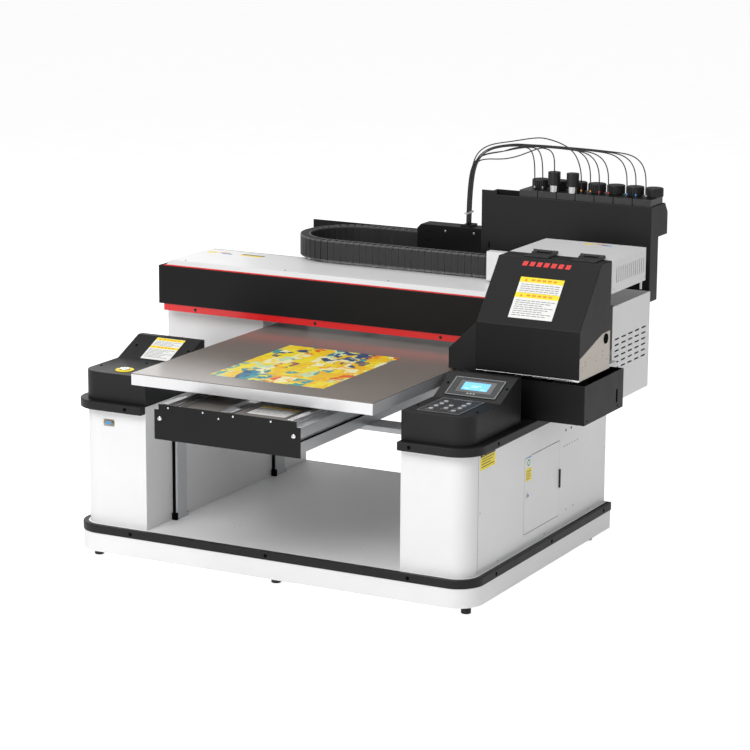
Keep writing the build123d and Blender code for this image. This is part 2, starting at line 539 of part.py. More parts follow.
# ---- ink supply -----------------------------------------------------------------
with BuildPart() as ink_cabinet:
    slab(CABINET_LEFT, CABINET_RIGHT, CABINET_FRONT, 488, 640, 890)
    slab(CABINET_LEFT, CABINET_RIGHT, CABINET_FRONT, 549, 806, 864)
    profile_yz([(488, 864), (549, 864), (530, 890), (488, 890)], CABINET_LEFT, CABINET_RIGHT)
    slab(CABINET_LEFT + 3, CABINET_RIGHT - 3, CABINET_FRONT + 3, 485, 643, 803,
         mode=Mode.SUBTRACT)
    slab(CABINET_LEFT + 3, CABINET_RIGHT - 3, CABINET_FRONT + 3, 526, 809, 891,
         mode=Mode.SUBTRACT)
    slab(CABINET_LEFT, CABINET_LEFT + 44, CABINET_FRONT, CABINET_FRONT + 3, 889, 901)
    # small slit in the front sheet
    slab(193.5, 196.5, CABINET_FRONT - 1, CABINET_FRONT + 4, 743, 763, mode=Mode.SUBTRACT)
ink_cabinet.part.label = "ink_cabinet"

TANK_FRONT, TANK_BACK, NECK_Y, NECK_RADIUS, NECK_SHIFT = 440, 520, 495, 17, 12
NECKS = [TANK_FIRST + TANK_PITCH * (k + 0.5) + NECK_SHIFT for k in range(TANK_COUNT)]
STIRRER_Y = 451
STIRRERS = (374, 427)
STIRRER_RADIUS = 16.5
FITTINGS = (315, 338, 449, 475, 500, 526, 578, 603, 631)
TUBE_END_Y, FITTING_HEIGHT = 457, 6
with BuildPart() as ink_tanks:
    for k, neck_x in enumerate(NECKS):
        x0 = TANK_FIRST + k * TANK_PITCH
        slab(x0 + 1.2, x0 + TANK_PITCH - 1.2, TANK_FRONT, TANK_BACK, 809, TANK_TOP)
        rod_along(Plane.XY.offset(TANK_TOP), (neck_x, NECK_Y), NECK_RADIUS, 18)
    # fittings on the lids for the tubes
    for x in FITTINGS:
        rod_along(Plane.XY.offset(TANK_TOP), (x, TUBE_END_Y), 3.5, FITTING_HEIGHT)
ink_tanks.part.label = "ink_tanks"

CAP_RADIUS, CAP_BOTTOM, CAP_TOP = 24, 911, 933
with BuildPart() as ink_cap:
    rod_along(Plane.XY, (0, 0), CAP_RADIUS, CAP_TOP - CAP_BOTTOM)
    fillet(ink_cap.edges().group_by(Axis.Z)[-1], 3)
    rod_along(Plane.XY, (0, 0), NECK_RADIUS + 0.8, 17, mode=Mode.SUBTRACT)
    # knurl: grooves round the rim
    with BuildSketch(Plane.XY):
        with PolarLocations(CAP_RADIUS, 24):
            Circle(1.6)
    extrude(amount=CAP_TOP - CAP_BOTTOM - 4, mode=Mode.SUBTRACT)
for k, neck_x in enumerate(NECKS, start=1):
    cap = ink_cap.part.moved(Location((neck_x, NECK_Y, CAP_BOTTOM)))
    cap.label = f"ink_cap_{k}"
    export_step(cap, f"parts/ink_cap_{k}.step")

with BuildPart() as stirrer_motors:
    for x in STIRRERS:
        rod_along(Plane.XY.offset(TANK_TOP), (x, STIRRER_Y), STIRRER_RADIUS - 5, 18)
        rod_along(Plane.XY.offset(TANK_TOP + 18), (x, STIRRER_Y), STIRRER_RADIUS, 35)
stirrer_motors.part.label = "stirrer_motors"

# ---- cable chain and its tray ----------------------------------------------------
BOX_LEFT, BOX_RIGHT, BOX_FRONT, BOX_BACK, BOX_TOP = -98, 170, 588, 642, 766
with BuildPart() as chain_tray:
    slab(-330, BOX_RIGHT, 379, BOX_BACK, 681, 684)
    # arms to the gantry beam
    for x in (-250, 110):
        slab(x, x + 20, 300, BOX_BACK - 40, 620, 650)
        slab(x, x + 20, 382, BOX_BACK - 40, 650, 681)
    # guard behind the chain and the box that holds its fixed end
    slab(-455, BOX_LEFT, BOX_BACK - 3, BOX_BACK, 684, 742)
    for inset, mode in ((0, Mode.ADD), (3, Mode.SUBTRACT)):
        left, right, top = BOX_LEFT - inset / 3, BOX_RIGHT - inset, BOX_TOP - inset
        with BuildSketch(Plane.XZ.offset(inset - BOX_BACK)):
            with BuildLine():
                Polyline((left, 684), (left, top - 12), (left + 12, top), (right, top),
                         (right, 684), close=True)
            make_face()
        extrude(amount=BOX_BACK - BOX_FRONT - 2 * inset, mode=mode)
    # strip the tubes come out of
    slab(34, 62, BOX_FRONT + 2, BOX_BACK - 2, BOX_TOP - 1, BOX_TOP + 6)
chain_tray.part.label = "chain_tray"

CHAIN_MID = CHAIN_FRONT + CHAIN_RADIUS          # y of the bend's centre
with BuildPart() as cable_chain:
    # front run, outside of the bend and back run as one band with grooves between links
    with BuildSketch(Plane.XY.offset(CHAIN_BOTTOM)):
        with BuildLine():
            front_y, back_y = CHAIN_FRONT, CHAIN_FRONT + 2 * CHAIN_RADIUS
            Line((CHAIN_END_X, front_y), (CHAIN_BEND_X, front_y))
            JernArc((CHAIN_BEND_X, front_y), (-1, 0), CHAIN_RADIUS, -180)
            Polyline(
                (CHAIN_BEND_X, back_y), (BOX_LEFT - 1, back_y), (BOX_LEFT - 1, back_y - CHAIN_THICK),
                (CHAIN_BEND_X, back_y - CHAIN_THICK),
            )
            JernArc((CHAIN_BEND_X, back_y - CHAIN_THICK), (-1, 0), CHAIN_RADIUS - CHAIN_THICK, 180)
            Polyline(
                (CHAIN_BEND_X, front_y + CHAIN_THICK), (CHAIN_END_X, front_y + CHAIN_THICK),
                (CHAIN_END_X, front_y),
            )
        make_face()
    extrude(amount=CHAIN_HEIGHT)
    # grooves between the links
    for k in range(1, int((CHAIN_END_X - CHAIN_BEND_X) / LINK_PITCH) + 1):
        x = CHAIN_BEND_X + k * LINK_PITCH
        for y in (front_y, front_y + CHAIN_THICK):
            slab(x - 0.8, x + 0.8, y - 1.5, y + 1.5, CHAIN_BOTTOM, CHAIN_BOTTOM + CHAIN_HEIGHT,
                 mode=Mode.SUBTRACT)
    with BuildSketch(Plane.XY.offset(CHAIN_BOTTOM)):
        with Locations((CHAIN_BEND_X, CHAIN_MID)):
            with PolarLocations(CHAIN_RADIUS, 20, start_angle=94.5, angular_range=171):
                Rectangle(3, 1.6)
    extrude(amount=CHAIN_HEIGHT, mode=Mode.SUBTRACT)
cable_chain.part.label = "cable_chain"

# ---- ink tubes -------------------------------------------------------------------
TUBE_RADIUS = 1.6
TUBE_EXIT_X, TUBE_EXIT_Y, TUBE_PITCH = 50, 596, 4.2
# each tube's peak height and how far it sags before the peak, front tube first
PEAKS = (1016, 1017, 1018, 1040, 1021, 1016, 1016, 1017, 1018, 1019)
SAGS = (12, 12, 34, 10, 0, 0, 0, 0, 0, 0)
# shape of every tube: distance from its end, and share of the height between that end
# and the peak; the first three turn down tightly and the fourth arches over wide
RISE = ((0, 0), (1, 0.16), (3, 0.32), (7, 0.48), (14, 0.62), (28, 0.735), (51, 0.82), (83, 0.883),
        (121, 0.924), (160, 0.951))
TIGHT_FALL = ((60, 0.99), (38, 1.0), (18, 0.96), (5, 0.76), (1, 0.5), (0, 0.25), (0, 0))
FALL = ((88, 1.0), (60, 0.985), (36, 0.93), (15, 0.8), (3, 0.58), (0, 0.3), (0, 0))
WIDE_FALL = ((150, 1.0), (112, 0.98), (76, 0.935), (46, 0.86), (24, 0.745), (10, 0.58), (2, 0.39),
             (0, 0.19), (0, 0))
FALLS = (TIGHT_FALL,) * 3 + (WIDE_FALL,) + (FALL,) * 6
LEVEL_STEP = 42


def tube_route(number):
    """Points of one ink tube: up from the chain's box, over, and down to a tank."""
    x0, y0, z0 = TUBE_EXIT_X - 0.6 * number, TUBE_EXIT_Y + TUBE_PITCH * number, BOX_TOP + 6
    peak, fall = PEAKS[number], FALLS[number]
    if number == 2:
        # this one ends higher, on a stirrer
        x1, y1, z1 = STIRRERS[0], STIRRER_Y, TANK_TOP + 53
    else:
        x1 = FITTINGS[number if number < 2 else number - 1]
        y1, z1 = TUBE_END_Y, TANK_TOP + FITTING_HEIGHT
    reach = hypot(x1 - x0, y1 - y0)
    crest = reach - fall[0][0]
    # gently rising stretch between the shoulder and the crest
    start, shoulder = RISE[-1]
    steps = max(round((crest - start) / LEVEL_STEP), 1)
    level = [(start + (crest - start) * k / steps,
              shoulder + (1 - shoulder) * sin(pi / 2 * k / steps)) for k in range(1, steps)]
    shape = [(d, z0 + (peak - z0) * share - SAGS[number] * sin(pi * d / crest))
             for d, share in RISE + tuple(level)]
    shape += [(reach - d, z1 + (peak - z1) * share) for d, share in fall]
    return [Vector(x0 + (x1 - x0) * d / reach, y0 + (y1 - y0) * d / reach, z) for d, z in shape]


for number in range(len(PEAKS)):
    route = tube_route(number)
    radii = []
    for a, b, c in zip(route, route[1:], route[2:]):
        turn = (b - a).get_angle(c - b)
        radii.append(0.45 * min((b - a).length, (c - b).length) / tan(max(turn, 0.05) * pi / 360))
    with BuildPart() as ink_tube:
        with BuildLine() as path:
            FilletPolyline(*route, radius=radii)
        with BuildSketch(Plane(origin=path.line @ 0, z_dir=path.line % 0)):
            Circle(TUBE_RADIUS)
        sweep(transition=Transition.RIGHT)
    length = sum(edge.length for edge in path.edges())
    share = ink_tube.part.volume / (pi * TUBE_RADIUS**2 * length)
    print(f"ink_tube_{number + 1}: length {length:.0f}, least radius {min(radii):.0f}, "
          f"volume share {share:.4f}")
    ink_tube.part.label = f"ink_tube_{number + 1}"
    export_step(ink_tube.part, f"parts/ink_tube_{number + 1}.step")

# ---- write the remaining pieces ---------------------------------------------------
for piece in (
    left_column, right_column, side_door, door_lock, side_collars, left_housing, power_button,
    console_housing, control_overlays, lcd_screen, support_frame, rail_beams, beam_end_panels,
    linear_rails, table_bearings, print_table, table_top_sheet, table_screw, screw_supports,
    left_upright, right_upright, gantry_beam, gantry_front_cover, gantry_red_panel,
    gantry_top_cover, carriage_frame, print_heads, hood_cover, hood_hinges, hood_side_plates,
    rear_box, uv_lamp, maintenance_tray, capping_station, ink_cabinet, ink_tanks,
    stirrer_motors, chain_tray, cable_chain,
):
    export_step(piece.part, f"parts/{piece.part.label}.step")
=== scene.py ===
import json
from math import asin, cos, hypot, pi, radians, sin

import bmesh
import bpy
from mathutils import Matrix, Vector


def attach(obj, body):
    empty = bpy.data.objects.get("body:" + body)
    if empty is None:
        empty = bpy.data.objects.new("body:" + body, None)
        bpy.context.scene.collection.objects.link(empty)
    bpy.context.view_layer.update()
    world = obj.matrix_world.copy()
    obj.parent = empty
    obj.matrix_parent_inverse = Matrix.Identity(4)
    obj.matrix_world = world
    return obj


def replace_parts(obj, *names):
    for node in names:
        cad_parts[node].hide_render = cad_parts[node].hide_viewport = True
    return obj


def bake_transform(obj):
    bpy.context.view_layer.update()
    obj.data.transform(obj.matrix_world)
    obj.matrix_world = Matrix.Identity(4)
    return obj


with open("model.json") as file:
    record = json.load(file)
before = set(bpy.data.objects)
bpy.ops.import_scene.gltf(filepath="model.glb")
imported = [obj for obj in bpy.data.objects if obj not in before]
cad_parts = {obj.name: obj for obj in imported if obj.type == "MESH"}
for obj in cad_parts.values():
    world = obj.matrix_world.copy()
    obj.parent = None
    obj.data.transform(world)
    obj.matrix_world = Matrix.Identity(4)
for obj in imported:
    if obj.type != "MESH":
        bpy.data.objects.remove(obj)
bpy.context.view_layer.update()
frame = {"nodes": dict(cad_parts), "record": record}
MM = 0.001
UP, FRONT, RIGHT, LEFT, BACK = (0, 0, 1), (0, -1, 0), (1, 0, 0), (-1, 0, 0), (0, 1, 0)

# ---- camera, at the photograph's angle --------------------------------------------
CAMERA_AT = (3.2292, -5.9845, 1.9677)
CAMERA_AZIMUTH, CAMERA_ELEVATION, CAMERA_ROLL = 27.738, 12.496, 0.364
CAMERA_SENSOR, CAMERA_LENS, CAMERA_REACH = 36.0, 129.28, 100

cam_data = bpy.data.cameras.new("camera")
cam_data.sensor_width, cam_data.lens = CAMERA_SENSOR, CAMERA_LENS
cam_data.clip_end = CAMERA_REACH
cam = bpy.data.objects.new("camera", cam_data)
cam.matrix_world = (
    Matrix.Translation(CAMERA_AT) @ Matrix.Rotation(radians(CAMERA_AZIMUTH), 4, "Z")
    @ Matrix.Rotation(radians(90 - CAMERA_ELEVATION), 4, "X")
    @ Matrix.Rotation(radians(CAMERA_ROLL), 4, "Z")
)
bpy.context.scene.collection.objects.link(cam)
bpy.context.scene.camera = cam


# ---- materials -------------------------------------------------------------------
MIX_A, MIX_B, MIX_OUT = 6, 7, 2             # colour sockets of the Mix node
COAT_ROUGHNESS = 0.12
DRIFT_RANGE = (0.3, 0.7)                    # share of the noise that the colour drifts over
EDGE_RADIUS, EDGE_SAMPLES = 0.0018, 4       # how far the lighter edges, worn paint and a painted highlight, reach in from an edge, metres
EDGE_RANGE = (0.9, 0.985)
PATCH_SCALE, PATCH_RANGE, PATCH_LEAST = 35.0, (0.35, 0.7), 0.25
GRAIN_DEPTH = 0.0006
GLOSS_SCALE, GLOSS_LEAST = 3.1, 0.02        # gloss drifts on a finer scale than colour
WHITE_LEVEL, BLACK_LEVEL = (1, 1, 1), (0, 0, 0)


def ramp(tree, source, stops, mode="LINEAR"):
    """Colour ramp over a value; stops are (position, colour)."""
    node = tree.nodes.new("ShaderNodeValToRGB")
    node.color_ramp.interpolation = mode
    while len(node.color_ramp.elements) < len(stops):
        node.color_ramp.elements.new(0.5)
    for element, (at, colour) in zip(node.color_ramp.elements, stops):
        element.position, element.color = at, (*colour, 1)
    tree.links.new(source, node.inputs["Fac"])
    return node.outputs["Color"]


def noise(tree, scale, detail=3.0, stretch=(1, 1, 1), rough=0.55):
    """Noise fixed to the object, drawn out along an axis by stretch."""
    coords = tree.nodes.new("ShaderNodeTexCoord")
    mapping = tree.nodes.new("ShaderNodeMapping")
    mapping.inputs["Scale"].default_value = stretch
    tree.links.new(coords.outputs["Object"], mapping.inputs["Vector"])
    node = tree.nodes.new("ShaderNodeTexNoise")
    node.inputs["Scale"].default_value = scale
    node.inputs["Detail"].default_value = detail
    node.inputs["Roughness"].default_value = rough
    tree.links.new(mapping.outputs["Vector"], node.inputs["Vector"])
    return node.outputs["Fac"]


def finish(name, colour, rough=0.4, metal=0.0, coat=0.0, vary=0.05, scale=6.0, grain=900.0,
           bump=0.05, stretch=(1, 1, 1), rough_vary=0.06, worn_edge_and_highlight=None, glow=0.0, spec=0.5):
    """Painted, moulded or metal surface: drifting colour and gloss, fine relief, edges lighter in
    patches from wear and a painted edge highlight.
    """
    mat = bpy.data.materials.new(name)
    mat.use_nodes = True
    tree = mat.node_tree
    shader = tree.nodes["Principled BSDF"]
    shader.inputs["Metallic"].default_value = metal
    shader.inputs["Coat Weight"].default_value = coat
    shader.inputs["Coat Roughness"].default_value = COAT_ROUGHNESS
    shader.inputs["Specular IOR Level"].default_value = spec
    drift = noise(tree, scale, 4.0, stretch)
    lo = tuple(max(0.0, c * (1 - vary)) for c in colour)
    hi = tuple(min(1.0, c * (1 + vary)) for c in colour)
    base = ramp(tree, drift, tuple(zip(DRIFT_RANGE, (lo, hi))))
    # edges turn lighter in patches: worn paint, together with a painted highlight along every edge
    if worn_edge_and_highlight is not None:
        bevel = tree.nodes.new("ShaderNodeBevel")
        bevel.samples = EDGE_SAMPLES
        bevel.inputs["Radius"].default_value = EDGE_RADIUS
        geometry = tree.nodes.new("ShaderNodeNewGeometry")
        dot = tree.nodes.new("ShaderNodeVectorMath")
        dot.operation = "DOT_PRODUCT"
        tree.links.new(bevel.outputs["Normal"], dot.inputs[0])
        tree.links.new(geometry.outputs["Normal"], dot.inputs[1])
        edge = ramp(tree, dot.outputs["Value"], tuple(zip(EDGE_RANGE, (WHITE_LEVEL, BLACK_LEVEL))))
        patches = ramp(tree, noise(tree, PATCH_SCALE),
                       tuple(zip(PATCH_RANGE, ((PATCH_LEAST,) * 3, WHITE_LEVEL))))
        amount = tree.nodes.new("ShaderNodeMix")
        amount.data_type, amount.blend_type = "RGBA", "MULTIPLY"
        amount.inputs["Factor"].default_value = 1.0
        tree.links.new(edge, amount.inputs[MIX_A])
        tree.links.new(patches, amount.inputs[MIX_B])
        mix = tree.nodes.new("ShaderNodeMix")
        mix.data_type = "RGBA"
        mix.inputs[MIX_B].default_value = (*worn_edge_and_highlight, 1)
        tree.links.new(amount.outputs[MIX_OUT], mix.inputs["Factor"])
        tree.links.new(base, mix.inputs[MIX_A])
        base = mix.outputs[MIX_OUT]
    tree.links.new(base, shader.inputs["Base Color"])
    gloss = noise(tree, scale * GLOSS_SCALE, 5.0, stretch, 0.65)
    spread = tree.nodes.new("ShaderNodeMapRange")
    spread.inputs["To Min"].default_value = max(GLOSS_LEAST, rough - rough_vary)
    spread.inputs["To Max"].default_value = min(1.0, rough + rough_vary)
    tree.links.new(gloss, spread.inputs["Value"])
    tree.links.new(spread.outputs["Result"], shader.inputs["Roughness"])
    relief = tree.nodes.new("ShaderNodeBump")
    relief.inputs["Strength"].default_value = bump
    relief.inputs["Distance"].default_value = GRAIN_DEPTH
    tree.links.new(noise(tree, grain, 2.0, stretch), relief.inputs["Height"])
    tree.links.new(relief.outputs["Normal"], shader.inputs["Normal"])
    if glow:
        tree.links.new(base, shader.inputs["Emission Color"])
        shader.inputs["Emission Strength"].default_value = glow
    return mat


WHITE = finish("white_powder_coat", (0.80, 0.80, 0.80), 0.38, vary=0.02, grain=1400, bump=0.06,
               worn_edge_and_highlight=(0.88, 0.88, 0.88), coat=0.15)
BLACK = finish("black_powder_coat", (0.011, 0.011, 0.0115), 0.44, vary=0.12, grain=1600, bump=0.10,
               worn_edge_and_highlight=(0.075, 0.075, 0.078), spec=0.26)
BLACK_SATIN = finish("black_satin_sheet", (0.006, 0.006, 0.0065), 0.40, vary=0.12, grain=1800,
                     bump=0.08, worn_edge_and_highlight=(0.075, 0.075, 0.078), spec=0.22)
RED = finish("red_enamel", (0.80, 0.010, 0.012), 0.30, coat=0.4, vary=0.03, grain=900, bump=0.03)
FLOOR_SHEET = finish("floor_sheet_grey", (0.88, 0.88, 0.885), 0.34, vary=0.02, scale=3, grain=700,
                     bump=0.008, rough_vary=0.01)
FRAME_PAINT = finish("frame_paint", (0.55, 0.56, 0.57), 0.42, vary=0.04, bump=0.08,
                     worn_edge_and_highlight=(0.75, 0.75, 0.76))
BEIGE = finish("warm_grey_sheet", (0.60, 0.55, 0.49), 0.40, metal=0.25, vary=0.04, grain=1200,
               bump=0.05, worn_edge_and_highlight=(0.78, 0.75, 0.70))
TABLE_TOP = finish("table_coating", (0.235, 0.210, 0.188), 0.21, metal=0.1, vary=0.04, scale=5,
                   grain=900, bump=0.008, rough_vary=0.01)
TABLE_EDGE = finish("table_edge_alloy", (0.80, 0.80, 0.81), 0.34, metal=0.55, vary=0.03, scale=5,
                    grain=300, bump=0.08, stretch=(0.05, 1, 1), worn_edge_and_highlight=(0.92, 0.92, 0.92))
ALLOY = finish("extruded_alloy", (0.66, 0.67, 0.68), 0.34, metal=0.85, vary=0.05, scale=8, grain=240,
               bump=0.12, stretch=(1, 0.03, 1), worn_edge_and_highlight=(0.85, 0.85, 0.86))
STEEL = finish("ground_steel", (0.62, 0.62, 0.63), 0.24, metal=1.0, vary=0.05, scale=12, grain=320,
               bump=0.10, stretch=(0.04, 1, 1))
CHROME = finish("bright_steel", (0.74, 0.74, 0.75), 0.16, metal=1.0, vary=0.04, bump=0.02)
DECK_GREY = finish("deck_plate_grey", (0.20, 0.185, 0.17), 0.42, metal=0.2, vary=0.06, bump=0.06)
PLASTIC = finish("black_moulding", (0.012, 0.012, 0.013), 0.45, vary=0.15, grain=700, bump=0.12,
                 worn_edge_and_highlight=(0.06, 0.06, 0.065), spec=0.4)
CHAIN = finish("chain_moulding", (0.022, 0.022, 0.023), 0.46, vary=0.15, grain=650, bump=0.14,
               worn_edge_and_highlight=(0.09, 0.09, 0.095), spec=0.4)
CHAIN_RIM = finish("chain_rim", (0.10, 0.10, 0.105), 0.42, vary=0.12, grain=650, bump=0.10)
TANK = finish("tank_moulding", (0.016, 0.016, 0.017), 0.34, vary=0.15, grain=500, bump=0.08,
              worn_edge_and_highlight=(0.09, 0.09, 0.095), coat=0.1)
TUBE = finish("dark_tube", (0.020, 0.020, 0.022), 0.30, vary=0.2, scale=20, grain=900, bump=0.05)
OVERLAY = finish("membrane_overlay", (0.030, 0.031, 0.033), 0.40, vary=0.1, grain=1500, bump=0.06)
LCD_FRAME = finish("display_frame", (0.008, 0.008, 0.009), 0.12, vary=0.1, bump=0.01, coat=0.5)
LCD = finish("display_light", (0.14, 0.50, 0.90), 0.20, vary=0.06, scale=30, grain=2500, bump=0.03,
             glow=0.55)
LCD_LINE = finish("display_lines", (0.55, 0.82, 0.98), 0.25, vary=0.05, bump=0.02, glow=0.5)
PAPER = finish("label_white", (0.82, 0.82, 0.80), 0.45, vary=0.03, grain=1800, bump=0.05)
YELLOW = finish("label_yellow", (0.95, 0.76, 0.008), 0.42, vary=0.05, grain=1800, bump=0.05)
GREY_INK = finish("label_grey", (0.22, 0.22, 0.225), 0.5, vary=0.15, grain=1800, bump=0.05)
RED_INK = finish("mark_red", (0.72, 0.025, 0.025), 0.35, vary=0.06, grain=1500, bump=0.04)
BLACK_INK = finish("label_black", (0.02, 0.02, 0.02), 0.45, vary=0.15, grain=1800, bump=0.05)
BLUE_INK = finish("blue_plastic", (0.03, 0.30, 0.68), 0.35, vary=0.06, grain=1500, bump=0.04)
GREEN_INK = finish("green_print", (0.10, 0.42, 0.25), 0.4, vary=0.1, grain=1500, bump=0.04)
ORANGE_INK = finish("orange_print", (0.85, 0.30, 0.02), 0.4, vary=0.1, grain=1500, bump=0.04)
DARK = finish("dark_recess", (0.002, 0.002, 0.002), 0.8, vary=0.3, bump=0.05, spec=0.05)
TIP_WHITE = finish("collar_white", (0.45, 0.45, 0.46), 0.4, vary=0.05, bump=0.03)
KEY = finish("key_white", (0.50, 0.51, 0.52), 0.4, vary=0.08, grain=1500, bump=0.04)
SOCKET = finish("socket_shell", (0.34, 0.31, 0.26), 0.3, metal=1.0, bump=0.03)


def artwork_material():
    """Generic print of loose overlapping colour patches, like test paint strokes."""
    mat = bpy.data.materials.new("printed_patches")
    mat.use_nodes = True
    tree = mat.node_tree
    shader = tree.nodes["Principled BSDF"]
    coords = tree.nodes.new("ShaderNodeTexCoord")
    warp = tree.nodes.new("ShaderNodeTexNoise")
    warp.inputs["Scale"].default_value = 26
    warp.inputs["Detail"].default_value = 5
    tree.links.new(coords.outputs["Object"], warp.inputs["Vector"])
    shift = tree.nodes.new("ShaderNodeVectorMath")
    shift.operation = "MULTIPLY_ADD"
    shift.inputs[1].default_value = (0.016, 0.030, 0.0)
    tree.links.new(warp.outputs["Color"], shift.inputs[0])
    tree.links.new(coords.outputs["Object"], shift.inputs[2])

    def cells(scale, stretch, offset):
        """One random value for each patch of a warped grid of patches."""
        mapping = tree.nodes.new("ShaderNodeMapping")
        mapping.inputs["Scale"].default_value = stretch
        mapping.inputs["Location"].default_value = offset
        tree.links.new(shift.outputs["Vector"], mapping.inputs["Vector"])
        node = tree.nodes.new("ShaderNodeTexVoronoi")
        node.distance = "CHEBYCHEV"
        node.inputs["Scale"].default_value = scale
        node.inputs["Randomness"].default_value = 0.85
        tree.links.new(mapping.outputs["Vector"], node.inputs["Vector"])
        split = tree.nodes.new("ShaderNodeSeparateColor")
        tree.links.new(node.outputs["Color"], split.inputs["Color"])
        return split.outputs["Red"]

    wide = ramp(tree, cells(10.0, (1.0, 0.8, 0), (0.31, 0.12, 0)), (
        (0.0, (0.95, 0.52, 0.01)), (0.16, (0.97, 0.78, 0.02)), (0.36, (0.01, 0.08, 0.20)),
        (0.46, (0.96, 0.84, 0.22)), (0.62, (0.62, 0.80, 0.42)), (0.70, (0.01, 0.28, 0.38)),
        (0.78, (0.72, 0.05, 0.02)), (0.85, (0.97, 0.72, 0.02)),
    ), "CONSTANT")
    fine = ramp(tree, cells(30.0, (1.0, 0.5, 0), (0.0, 0.4, 0)), (
        (0.0, (0.95, 0.60, 0.02)), (0.22, (0.96, 0.92, 0.55)), (0.44, (0.97, 0.80, 0.03)),
        (0.64, (0.04, 0.36, 0.40)), (0.74, (0.82, 0.12, 0.02)), (0.83, (0.02, 0.08, 0.20)),
        (0.92, (0.60, 0.80, 0.50)),
    ), "CONSTANT")
    spots = tree.nodes.new("ShaderNodeTexNoise")
    spots.inputs["Scale"].default_value = 34
    spots.inputs["Detail"].default_value = 7
    tree.links.new(coords.outputs["Object"], spots.inputs["Vector"])
    mask = ramp(tree, spots.outputs["Fac"], ((0.45, BLACK_LEVEL), (0.50, WHITE_LEVEL)))
    mix = tree.nodes.new("ShaderNodeMix")
    mix.data_type = "RGBA"
    tree.links.new(mask, mix.inputs["Factor"])
    tree.links.new(wide, mix.inputs[MIX_A])
    tree.links.new(fine, mix.inputs[MIX_B])
    tree.links.new(mix.outputs[MIX_OUT], shader.inputs["Base Color"])
    relief = tree.nodes.new("ShaderNodeBump")
    relief.inputs["Strength"].default_value = 0.25
    relief.inputs["Distance"].default_value = 0.0005
    tree.links.new(spots.outputs["Fac"], relief.inputs["Height"])
    tree.links.new(relief.outputs["Normal"], shader.inputs["Normal"])
    shader.inputs["Roughness"].default_value = 0.32
    return mat


ARTWORK = artwork_material()


# ---- mesh helpers ----------------------------------------------------------------
SHARP_ANGLE = radians(28)                   # edges sharper than this are bevelled and stay crisp
BEVEL_SEGMENTS = 3
FLAT_ANGLE = radians(0.6)                   # faces this close to flat are merged
WELD_DISTANCE = 1e-6
CORNER_STEPS = 5


def place(name, bm, mats, body, bevel=0.0, smooth=False):
    """Turns a bmesh, built in millimetres in the shared frame, into a piece on a body."""
    bmesh.ops.transform(bm, matrix=Matrix.Scale(MM, 4), verts=bm.verts)
    bmesh.ops.recalc_face_normals(bm, faces=bm.faces)
    mesh = bpy.data.meshes.new(name)
    bm.to_mesh(mesh)
    bm.free()
    return wrap(name, mesh, mats, body, bevel, smooth)


def wrap(name, mesh, mats, body, bevel=0.0, smooth=False):
    """A mesh as a piece on a body, with its materials, bevelled edges and shading."""
    obj = bpy.data.objects.new(name, mesh)
    bpy.context.scene.collection.objects.link(obj)
    for mat in mats:
        mesh.materials.append(mat)
    if bevel:
        mod = obj.modifiers.new("edges", "BEVEL")
        mod.width, mod.segments = bevel * MM, BEVEL_SEGMENTS
        mod.limit_method, mod.angle_limit = "ANGLE", SHARP_ANGLE
        mod.harden_normals = True
        mod.use_clamp_overlap = True
    if smooth or bevel:
        for face in mesh.polygons:
            face.use_smooth = True
        mesh.set_sharp_from_angle(angle=SHARP_ANGLE)
    if body:
        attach(obj, body)
    return obj


BODY = {n: b for b, group in frame["record"]["behaviour"]["bodies"].items() for n in group}


def edged(node, mats, bevel, pick=None, merge=True):
    """The CAD node as a piece whose edges are rounded; pick(face) chooses a material."""
    source = frame["nodes"][node].data
    bm = bmesh.new()
    bm.from_mesh(source)
    bmesh.ops.remove_doubles(bm, verts=bm.verts, dist=WELD_DISTANCE)
    if merge:
        bmesh.ops.dissolve_limit(bm, angle_limit=FLAT_ANGLE, verts=bm.verts, edges=bm.edges)
    mats = mats if isinstance(mats, list) else [mats]
    for face in bm.faces:
        face.material_index = pick(face) if pick else 0
    mesh = bpy.data.meshes.new(node + "_surface")
    bm.to_mesh(mesh)
    bm.free()
    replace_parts(wrap(node + "_piece", mesh, mats, BODY[node], bevel), node)


def basis(origin, x_dir, z_dir):
    """Matrix of a local frame: x along x_dir, z along z_dir, at origin in millimetres."""
    x, z = Vector(x_dir).normalized(), Vector(z_dir).normalized()
    y = z.cross(x)
    m = Matrix((x, y, z)).transposed().to_4x4()
    m.translation = Vector(origin)
    return m


def plate(bm, m, x0, x1, y0, y1, z0, z1, mat=0, r=0.0):
    """Flat plate in a local frame, with rounded corners of radius r."""
    if r:
        outline = []
        corners = ((x1 - r, y1 - r, 0), (x0 + r, y1 - r, 90), (x0 + r, y0 + r, 180),
                   (x1 - r, y0 + r, 270))
        for cx, cy, start in corners:
            for k in range(CORNER_STEPS + 1):
                a = radians(start + 90 * k / CORNER_STEPS)
                outline.append((cx + r * cos(a), cy + r * sin(a)))
    else:
        outline = [(x0, y0), (x1, y0), (x1, y1), (x0, y1)]
    prism(bm, m, outline, z0, z1, mat)


def prism(bm, m, outline, z0, z1, mat=0):
    """Solid between z0 and z1 of a local frame, over an outline of (x, y) points."""
    low = [bm.verts.new(m @ Vector((x, y, z0))) for x, y in outline]
    high = [bm.verts.new(m @ Vector((x, y, z1))) for x, y in outline]
    count = len(outline)
    faces = [bm.faces.new(low[::-1]), bm.faces.new(high)]
    faces += [bm.faces.new((low[k], low[(k + 1) % count], high[(k + 1) % count], high[k]))
              for k in range(count)]
    for face in faces:
        face.material_index = mat


